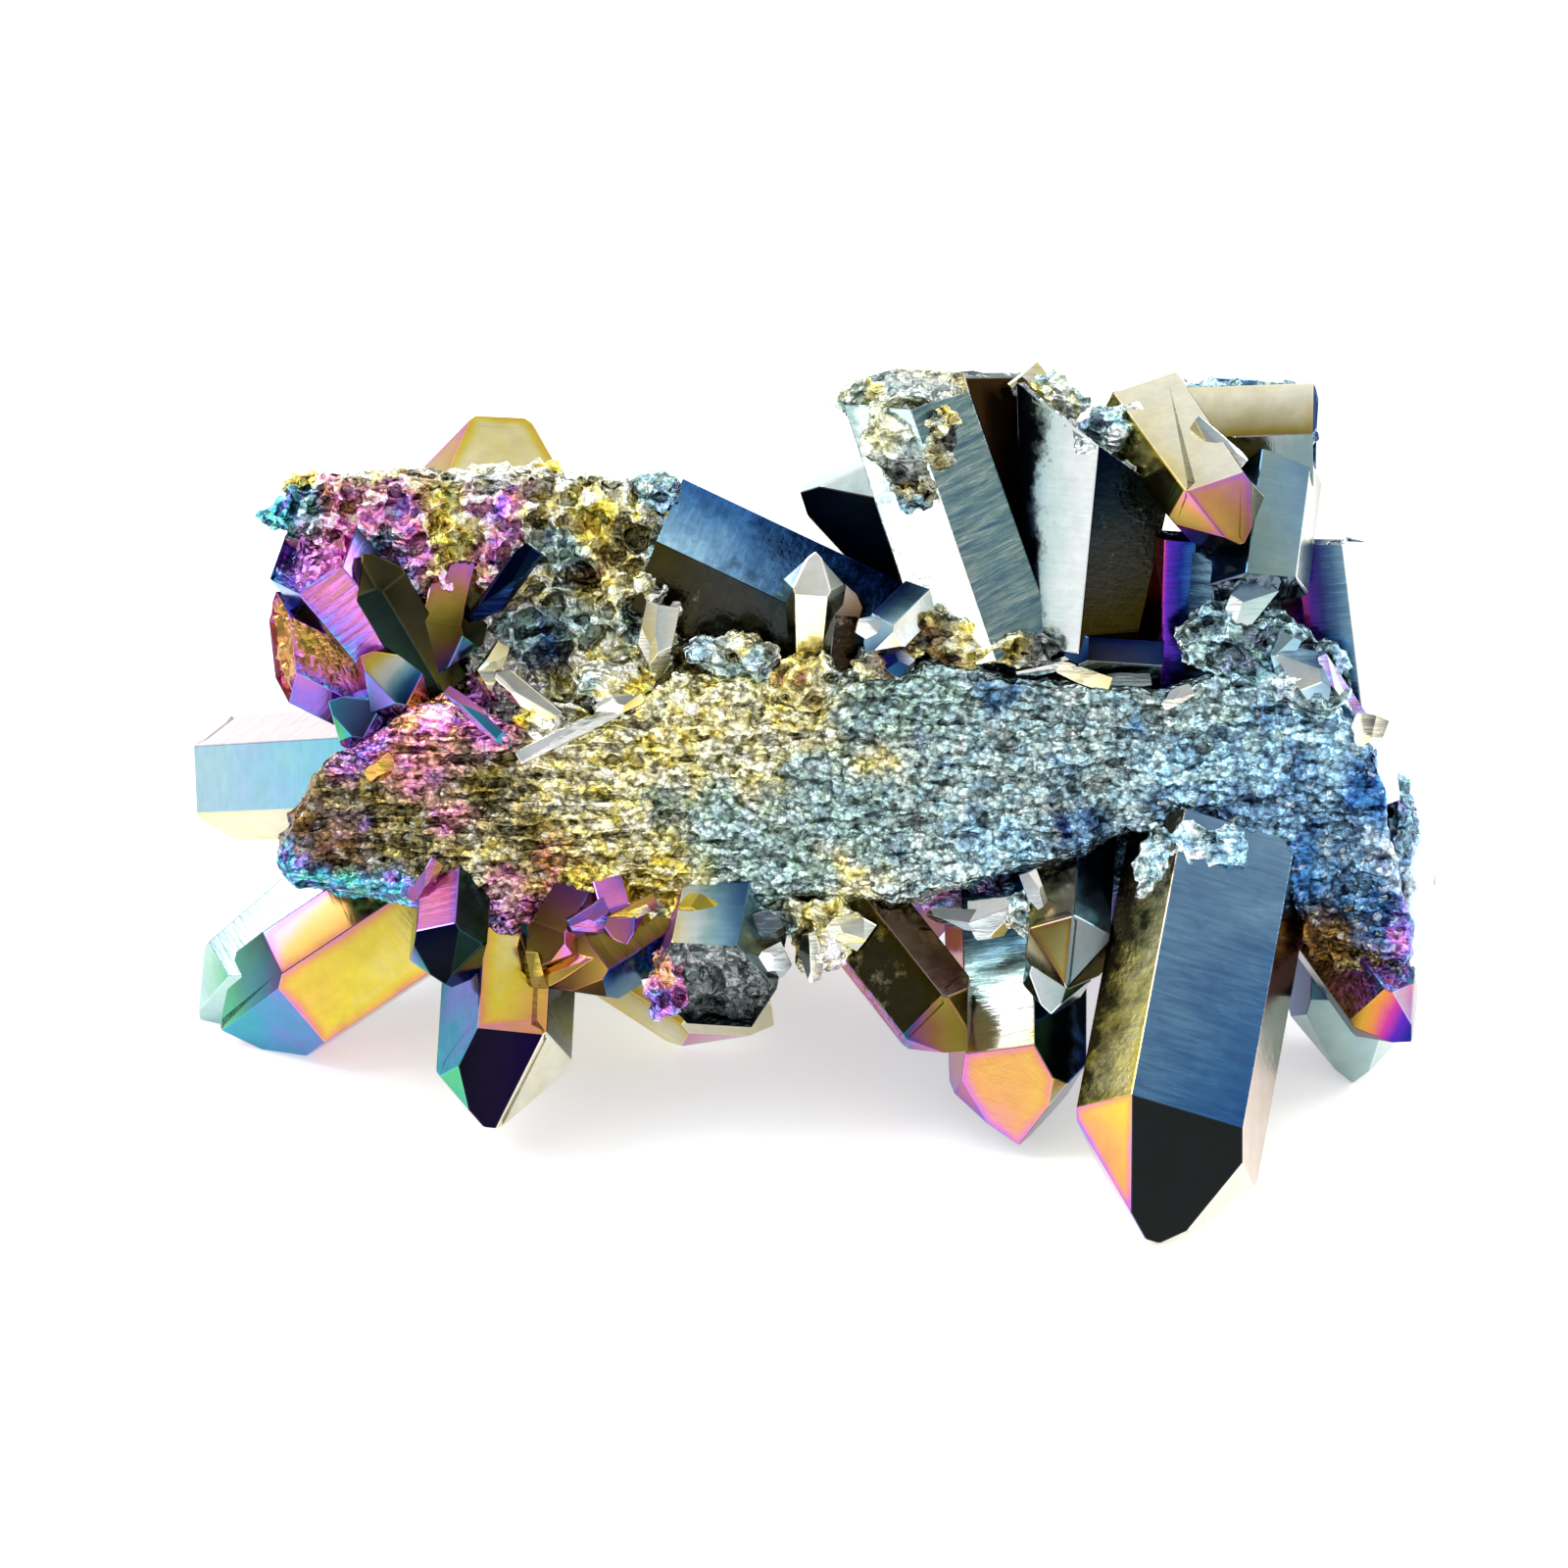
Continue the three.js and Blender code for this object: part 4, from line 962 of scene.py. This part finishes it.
def seam_front():
    ob = outline_box(SEAM_TOP, SEAM_BOTTOM, 0.6, -4, 1.2)
    applied(ob, "REMESH", mode="VOXEL", voxel_size=sizes().fine_grain)
    waves(ob, (6, 1.4), (2.2, 0.7))
    ridges(ob)
    crumbs(ob, 0.55)
    paint_matrix(ob, SEAM_DABS, Vector((3, 7, 1)))
    return ob


def shelf_front():
    ob = outline_box(SHELF_TOP, SHELF_BOTTOM, -0.5, -5, 0.7)
    applied(ob, "REMESH", mode="VOXEL", voxel_size=sizes().fine_grain * 0.75)
    u, v, radius, depth = BOWL
    for vertex in ob.data.vertices:
        away = (Vector((vertex.co.x, vertex.co.y)) / MM - Vector((u, v))).length / radius
        if vertex.co.z > -2 * MM:
            vertex.co.z -= depth * MM * math.exp(-(away**2))
    waves(ob, (3, 1.6), (1.3, 1.2))
    lumps(ob, (1.8, 0.9, "MANHATTAN"))
    crumbs(ob, 1)
    paint_matrix(ob, SHELF_DABS, Vector((13, 2, 5)), 0.8, 0.06, 1.55)
    return ob


def rough_block(top, bottom, front, back, corner, dabs, seed):
    """A block of matrix behind the broken face, coarser than the face itself."""
    ob = outline_box(top, bottom, front, back, corner)
    applied(ob, "REMESH", mode="VOXEL", voxel_size=sizes().coarse_grain)
    waves(ob, (4, 1.8))
    lumps(ob, (2.2, 1.2, "MANHATTAN"), (1.1, 0.6, "DISTANCE"))
    paint_matrix(ob, dabs, seed, 1.5, 0.08)
    return ob


def crust_lump(middle, half, words, seed):
    """A lump of crumbs, started from a ball. A large one starts from more faces."""
    alone()
    bpy.ops.mesh.primitive_ico_sphere_add(
        subdivisions=5 if max(half) > 3.4 else 4, radius=1, location=Vector(middle) * MM,
        scale=Vector(half) * MM)
    ob = placed(bpy.context.object)
    waves(ob, (2.4, 1.8))
    lumps(ob, (1.5, 0.9, "CHEBYCHEV"), (0.8, 0.45, "MANHATTAN"))
    crumbs(ob, 0.35)
    rng = random.Random(seed)
    dabs = [(middle[0] + half[0] * rng.uniform(-0.9, 0.9), middle[1] + half[1] * rng.uniform(-0.9, 0.9),
             min(half[:2]) * 0.5, word) for word in words.split() * 2]
    paint_matrix(ob, dabs, Vector((seed, 2, 7)), 0.5)
    return ob


def chip(middle, spans, turn, lean, words, seed, cuts=7):
    """A flat chip of crystal, cut from a block by a few planes."""
    rng = random.Random(seed)
    alone()
    bpy.ops.mesh.primitive_cube_add(size=1)
    ob = bpy.context.object
    mode("EDIT")
    for _ in range(cuts):
        way = Vector((rng.uniform(-1, 1), rng.uniform(-1, 1), rng.uniform(-0.4, 0.9))).normalized()
        cut(way * rng.uniform(0.3, 0.46), way, 1e-5)
    mode("OBJECT")
    ob.scale = Vector(spans) * MM
    placed(ob)
    ob.rotation_euler = (math.radians(lean), math.radians(rng.uniform(-12, 12)), math.radians(turn))
    ob.location = Vector(middle) * MM
    placed(ob)
    bevelled(ob, 0.05 * MM, 1, 20)
    c = dict(coats={"root": f"{words} / rippled"}, base=words.split()[0], rims=0)
    largest = sorted(ob.data.polygons, key=lambda p: -p.area)[:8]
    planes = [("other" if i % 2 else "root", p.normal.copy(), p.center.copy())
              for i, p in enumerate(largest)]
    paint_crystal(ob, c, planes, UP, rng)
    bpy.ops.object.shade_flat()
    return ob


# ------------------------------------------------------------------ materials
class Nodes:
    """Short names for adding and joining the nodes of one material."""

    def __init__(self, tree):
        self.tree = tree
        tree.nodes.clear()

    def add(self, kind, inputs=(), **values):
        node = self.tree.nodes.new(kind)
        for key, value in values.items():
            setattr(node, key, value)
        for key, value in dict(inputs).items():
            if hasattr(value, "is_linked"):
                self.tree.links.new(value, node.inputs[key])
            else:
                node.inputs[key].default_value = value
        return node

    def math(self, how, a, b, clamp=False):
        return self.add("ShaderNodeMath", {0: a, 1: b}, operation=how, use_clamp=clamp).outputs[0]

    def plus(self, a, b, clamp=False):
        return self.math("ADD", a, b, clamp)

    def minus(self, a, b, clamp=False):
        return self.math("SUBTRACT", a, b, clamp)

    def times(self, a, b, clamp=False):
        return self.math("MULTIPLY", a, b, clamp)

    def swing(self, value, size):
        """A value from 0 to 1 as a change to both sides of nothing."""
        return self.times(self.minus(value, 0.5), size)

    def line(self, start, slope, value):
        return self.plus(start, self.times(value, slope))

    def vector(self, how, a, b):
        return self.add("ShaderNodeVectorMath", {0: a, 1: b}, operation=how)

    def scaled(self, vector, size):
        return self.add("ShaderNodeVectorMath", {0: vector, "Scale": size}, operation="SCALE").outputs[0]

    def stretched(self, vector, scale):
        return self.add("ShaderNodeMapping", {"Vector": vector, "Scale": scale}).outputs[0]

    def blend(self, share, a, b):
        return self.add("ShaderNodeMix", {0: share, 2: a, 3: b}, data_type="FLOAT").outputs[0]

    def colours(self, how, share, a, b):
        return self.add("ShaderNodeMix", {0: share, 6: a, 7: b}, data_type="RGBA",
                        blend_type=how).outputs[2]

    def place(self, output="Object"):
        return self.add("ShaderNodeTexCoord").outputs[output]

    def noise(self, where, scale, detail=2, rough=0.5, output=0, **more):
        return self.add("ShaderNodeTexNoise", {"Vector": where, "Scale": scale, "Detail": detail,
                                               "Roughness": rough, **more}).outputs[output]

    def cells(self, where, scale, **values):
        return self.add("ShaderNodeTexVoronoi", {"Vector": where, "Scale": scale}, **values).outputs

    def split(self, colour):
        return tuple(self.add("ShaderNodeSeparateColor", {0: colour}).outputs)

    def attribute(self, name):
        return self.add("ShaderNodeAttribute", attribute_name=name).outputs

    def four(self, name):
        """The four values that a face has under this name."""
        read = self.attribute(name)
        return *self.split(read["Color"]), read["Alpha"]

    def corners(self, name, s, t):
        """A face's four values blended over the face."""
        a, b, c, d = self.four(name)
        return self.blend(t, self.blend(s, a, b), self.blend(s, c, d))

    def ramp(self, value, stops):
        node = self.add("ShaderNodeValToRGB", {0: value})
        elements = node.color_ramp.elements
        while len(elements) < len(stops):
            elements.new(1)
        for element, (at, colour) in zip(elements, stops):
            element.position = at
            element.color = (*colour, 1)
        return node.outputs[0]

    def surface(self, **inputs):
        inputs = {key.replace("_", " "): value for key, value in inputs.items()}
        shader = self.add("ShaderNodeBsdfPrincipled", inputs).outputs[0]
        self.add("ShaderNodeOutputMaterial", {0: shader})

    def metal(self, colour, rough, height, depth):
        """A bare metallic surface with a relief of this depth in metres."""
        bump = self.add("ShaderNodeBump", {"Height": height, "Strength": 1, "Distance": depth}).outputs[0]
        self.surface(Base_Color=colour, Metallic=1, Roughness=rough, Normal=bump)


def coating(name, fill, *values):
    """The material of this name, made the first time it is asked for."""
    material = bpy.data.materials.get(name)
    if material is None:
        material = bpy.data.materials.new(name)
        material.use_nodes = True
        fill(Nodes(material.node_tree), *values)
    return material


def crystal_coating():
    return coating("coated_crystal", crystal_nodes)


def matrix_coating():
    return coating("coated_matrix", matrix_nodes, 3000, "EUCLIDEAN")


def crystal_nodes(n):
    """The metallic film on a crystal face: its colour runs between the face's four corners."""
    where = n.place()
    ripple, crust, sharp, middle = n.four("finish")
    wander = n.split(n.noise(where, WANDER, 3, output="Color"))
    place = n.add("ShaderNodeUVMap", uv_map="place").outputs[0]
    s, t = (n.plus(at, n.swing(stray, 0.3), True) for at, stray in zip(
        n.add("ShaderNodeSeparateXYZ", {0: place}).outputs[:2], wander))
    lines = n.stretched(n.add("ShaderNodeUVMap", uv_map="grain").outputs[0], (0.28, 2.4, 1))
    bands = n.noise(lines, 1, 4, 0.6, Distortion=0.8)
    loose = n.scaled(n.noise(where, LOOSE, output="Color"), 0.0007)
    cells = n.cells(n.vector("ADD", where, loose).outputs[0], SPECKS, distance="CHEBYCHEV")
    speck = n.split(cells["Color"])[0]
    patchy = n.noise(where, PATCHES, 4, 0.65)

    edge, thicker = n.four("rim")[:2]
    rim = n.times(n.math("POWER", edge, 1.5), n.plus(wander[2], 0.4))
    rim = n.times(rim, n.minus(thicker, 0.5))
    film = n.plus(n.corners("film", s, t), n.swing(bands, n.times(ripple, 0.16)))
    film = n.plus(film, n.swing(wander[2], 0.05))
    film = n.plus(film, n.times(rim, looks().rim))
    film = n.plus(film, n.swing(speck, n.times(crust, 0.06)), True)
    colour = n.ramp(film, list(zip(STOPS, TINTS)))
    colour = n.colours("MIX", n.corners("pale", s, t), colour, (1, 1, 1, 1))

    # The corners' light is painted reflection and painted shade. A ragged finish drives that painted
    # light away from its middle, into patches.
    light = n.corners("light", s, t)
    ragged = n.swing(n.noise(where, RAGGED, 5, 0.7), 0.9)
    apart = n.plus(n.minus(light, middle), ragged)
    apart = n.plus(n.times(apart, n.math("DIVIDE", 1, n.minus(1, sharp))), middle)
    apart = n.math("MAXIMUM", n.math("MINIMUM", apart, 1), 0.03)
    light = n.blend(n.math("GREATER_THAN", sharp, 0.01), light, apart)
    light = n.times(light, n.line(0.72, 0.32, patchy))
    light = n.times(light, n.plus(1, n.swing(bands, n.times(ripple, 1.8))))
    light = n.times(light, n.plus(1, n.swing(speck, n.times(crust, 1.2))))

    rough = n.line(looks().gloss, 0.25, crust)
    rough = n.plus(rough, n.swing(patchy, 0.18), True)
    height = n.minus(n.times(n.times(bands, ripple), 0.6), n.times(cells["Distance"], crust))
    height = n.line(height, 0.05, patchy)
    n.metal(n.scaled(colour, light), rough, height, 0.00018)


def matrix_nodes(n, grain, metric):
    """The film on the broken matrix: bright grains with dark gaps and cracks between them."""
    where = n.place()
    paint, hollow = n.attribute("tint")["Color"], n.attribute("hollow")["Fac"]
    push = n.vector("SUBTRACT", n.noise(where, grain * 0.5, output="Color"), (0.5, 0.5, 0.5)).outputs[0]
    loose = n.vector("ADD", where, n.scaled(push, 1.6 / grain)).outputs[0]
    cells = n.cells(n.stretched(loose, (0.75, 1, 1)), grain, distance=metric)
    tone, pick = n.split(cells["Color"])[:2]
    fine = n.noise(where, FINE, 3, 0.6)
    crack = n.cells(n.stretched(loose, (0.3, 1, 1)), grain * 0.32, feature="DISTANCE_TO_EDGE")["Distance"]
    crack = n.minus(1, n.times(crack, 7), True)
    crack = n.times(crack, n.times(n.noise(where, CRACKED, 3, 0.6), 1.5), True)
    shaded_gap = n.times(n.minus(cells["Distance"], 0.32), 2.4, True)

    # Painted shade in the hollows and a painted highlight on the ridges; the grain tone and the fine
    # noise vary at random.
    shade = n.minus(1.7, n.times(hollow, 1.15))
    shade = n.times(shade, n.line(0.67, 0.66, tone))
    # Painted shade between the grains and in the cracks.
    shade = n.times(shade, n.minus(1.08, n.times(shaded_gap, 0.8)))
    shade = n.times(shade, n.minus(1.08, n.times(crack, 0.72)))
    shade = n.times(shade, n.line(0.55, 0.9, fine))
    shade = n.math("MAXIMUM", shade, 0.04)
    # Where the painted shade is deep, the colour turns darker and stronger.
    deep = n.colours("MULTIPLY", 1, paint, paint)
    painted_light = n.scaled(n.colours("MIX", n.minus(0.5, shade, True), paint, deep), shade)
    # Painted glints: a few grains are mixed towards white.
    painted_glint = n.times(n.math("GREATER_THAN", pick, 0.94), 0.3)
    painted_light = n.colours("MIX", painted_glint, painted_light, (0.9, 0.95, 0.9, 1))
    height = n.plus(n.times(cells["Distance"], -0.8), n.times(fine, 0.5))
    height = n.minus(height, n.times(crack, 0.9))
    rough = n.plus(looks().crust_gloss, n.swing(fine, 0.3), True)
    n.metal(painted_light, rough, height, 0.55 / grain)


def floor_nodes(n):
    tone = n.scaled(looks().floor[:3], n.line(0.97, 0.06, n.noise(n.place(), PATCHES)))
    n.surface(Base_Color=tone, Roughness=0.9, Emission_Color=(1, 1, 1, 1),
              Emission_Strength=looks().floor_glow)


# ------------------------------------------------------------------ the stage
def camera():
    bpy.ops.object.camera_add(location=FACE @ (OUT * 0.5), rotation=(FACE_TILT, 0, 0))
    made = bpy.context.object
    made.name = "camera"
    made.data.lens, made.data.sensor_width = 180, 36
    made.data.clip_start = 0.02
    bpy.context.scene.camera = made


def floor():
    alone()
    bpy.ops.mesh.primitive_plane_add(size=3)
    ob = bpy.context.object
    ob.name = "floor"
    ob.data.materials.append(coating("floor", floor_nodes))


def room():
    """A bright room that is dim on the side that the broken face looks to."""
    world = bpy.data.worlds.new("room")
    world.use_nodes = True
    bpy.context.scene.world = world
    n = Nodes(world.node_tree)
    facing = n.vector("DOT_PRODUCT", n.place("Generated"), FACE.to_3x3() @ OUT).outputs["Value"]
    tone = n.ramp(facing, [(0, (1, 1, 1)), (0.5, (0.96, 0.96, 0.96)), (0.8, (0.8, 0.81, 0.83)),
                           (0.93, (0.6, 0.61, 0.63)), (1, (0.48, 0.49, 0.51))])
    shade = n.add("ShaderNodeBackground", {0: tone, 1: looks().sky}).outputs[0]
    n.add("ShaderNodeOutputWorld", {0: shade})


def lamp(name, spot, size, power, target=(0, 0, 0.02)):
    """A round softbox that looks at the cluster."""
    way = Vector(target) - Vector(spot)
    bpy.ops.object.light_add(type="AREA", location=spot, rotation=way.to_track_quat("-Z", "Y").to_euler())
    made = bpy.context.object
    made.name = name
    made.data.shape, made.data.size, made.data.energy = "DISK", size, power


# ------------------------------------------------------------------ operators
class Maker(bpy.types.Operator):
    bl_options = {"REGISTER", "UNDO"}

    def execute(self, context):
        self.make()
        return {"FINISHED"}


def crystal_operator(tag, label, *groups):
    """An operator that grows some groups of crystals."""
    def make(self):
        for name in groups:
            grow_group(name)
    return type(f"QUARTZ_OT_{tag}", (Maker,), {
        "__doc__": f"Grows {label.lower()}", "bl_idname": f"quartz.{tag}", "bl_label": label,
        "make": make})


class QUARTZ_OT_seam(Maker):
    """Breaks the seam of matrix that carries the crystals"""

    bl_idname = "quartz.seam"
    bl_label = "Seam"

    def make(self):
        stood(seam_front(), "seam_front", matrix_coating())
        back = rough_block(SEAM_TOP, SEAM_BOTTOM, -2.5, -14, 2.5, SEAM_DABS, Vector((1, 1, 9)))
        stood(back, "seam_back", matrix_coating())


class QUARTZ_OT_shelf(Maker):
    """Breaks the shelf of matrix at the upper left"""

    bl_idname = "quartz.shelf"
    bl_label = "Shelf"

    def make(self):
        look = coating("coated_shelf", matrix_nodes, 1700, "CHEBYCHEV")
        stood(shelf_front(), "shelf_front", look)
        back = rough_block(SHELF_TOP, SHELF_BOTTOM, -3.5, -10, 1.5, SHELF_DABS, Vector((4, 8, 2)))
        stood(back, "shelf_back", matrix_coating())


class QUARTZ_OT_core(Maker):
    """Makes the core of matrix behind the seam"""

    bl_idname = "quartz.core"
    bl_label = "Core"

    def make(self):
        block = rough_block(CORE_TOP, CORE_BOTTOM, -4, -19, 2, CORE_DABS, Vector((6, 3, 4)))
        stood(block, "core", matrix_coating())


class QUARTZ_OT_crusts(Maker):
    """Lays the lumps of crumbs on and between the crystals"""

    bl_idname = "quartz.crusts"
    bl_label = "Crusts"

    def make(self):
        look = coating("coated_crust", matrix_nodes, 2200, "CHEBYCHEV")
        stood(joined([crust_lump(*row, seed) for seed, row in enumerate(CRUSTS)]), "crusts", look)


class QUARTZ_OT_chips(Maker):
    """Sets the flat chips in the matrix"""

    bl_idname = "quartz.chips"
    bl_label = "Chips"

    def make(self):
        made = [chip(*row, seed) for seed, row in enumerate(CHIPS)]
        stood(joined(made), "chips", crystal_coating())


class QUARTZ_OT_druse(Maker):
    """Scatters small points over the hidden sides of the matrix"""

    bl_idname = "quartz.druse"
    bl_label = "Druse"

    def make(self):
        stood(druse_points(), "druse", crystal_coating())


class QUARTZ_OT_stage(Maker):
    """Sets the floor, the room light and the camera"""

    bl_idname = "quartz.stage"
    bl_label = "Stage"

    def make(self):
        camera()
        floor()
        room()
        lamp("left_softbox", (-0.5, 0.1, 0.6), 0.5, 3.5)
        lamp("right_softbox", (0.6, 0.3, 0.4), 0.4, 3)
        bpy.context.scene.view_settings.view_transform = "Standard"


OPERATORS = (
    crystal_operator("lower_points", "Points below the seam", "big_points", "left_points",
                     "left_low_points", "middle_points", "right_points"),
    crystal_operator("upper_prisms", "Broken prisms above the seam", "leaning_prisms", "tall_prisms",
                     "splinters", "bridge_prisms"),
    crystal_operator("pocket", "Points in the pocket", "pocket_points"),
    crystal_operator("rear_points", "Points behind the seam", "rear_top_points", "rear_crown_points",
                     "rear_low_points"),
    QUARTZ_OT_seam,
    QUARTZ_OT_shelf,
    QUARTZ_OT_core,
    QUARTZ_OT_crusts,
    QUARTZ_OT_chips,
    QUARTZ_OT_druse,
    QUARTZ_OT_stage,
)


class QUARTZ_PT_build(bpy.types.Panel):
    """The pieces of the cluster, in the order they are made"""

    bl_label = "Aura Quartz Cluster"
    bl_space_type = "VIEW_3D"
    bl_region_type = "UI"
    bl_category = "Quartz"

    def draw(self, context):
        for group in (context.scene.quartz_sizes, context.scene.quartz_looks):
            column = self.layout.column(align=True)
            for key in group.__annotations__:
                column.prop(group, key)
        for operator in OPERATORS:
            self.layout.operator(operator.bl_idname)


CLASSES = (QuartzSizes, QuartzLooks, *OPERATORS, QUARTZ_PT_build)


def register():
    for made in CLASSES:
        bpy.utils.register_class(made)
    bpy.types.Scene.quartz_sizes = PointerProperty(type=QuartzSizes)
    bpy.types.Scene.quartz_looks = PointerProperty(type=QuartzLooks)


def unregister():
    del bpy.types.Scene.quartz_looks
    del bpy.types.Scene.quartz_sizes
    for made in reversed(CLASSES):
        bpy.utils.unregister_class(made)


def main():
    register()
    for operator in OPERATORS:
        area, call = operator.bl_idname.split(".")
        if getattr(getattr(bpy.ops, area), call)() != {"FINISHED"}:
            raise RuntimeError(f"{operator.bl_label} was not made")


if __name__ == "__main__":
    main()
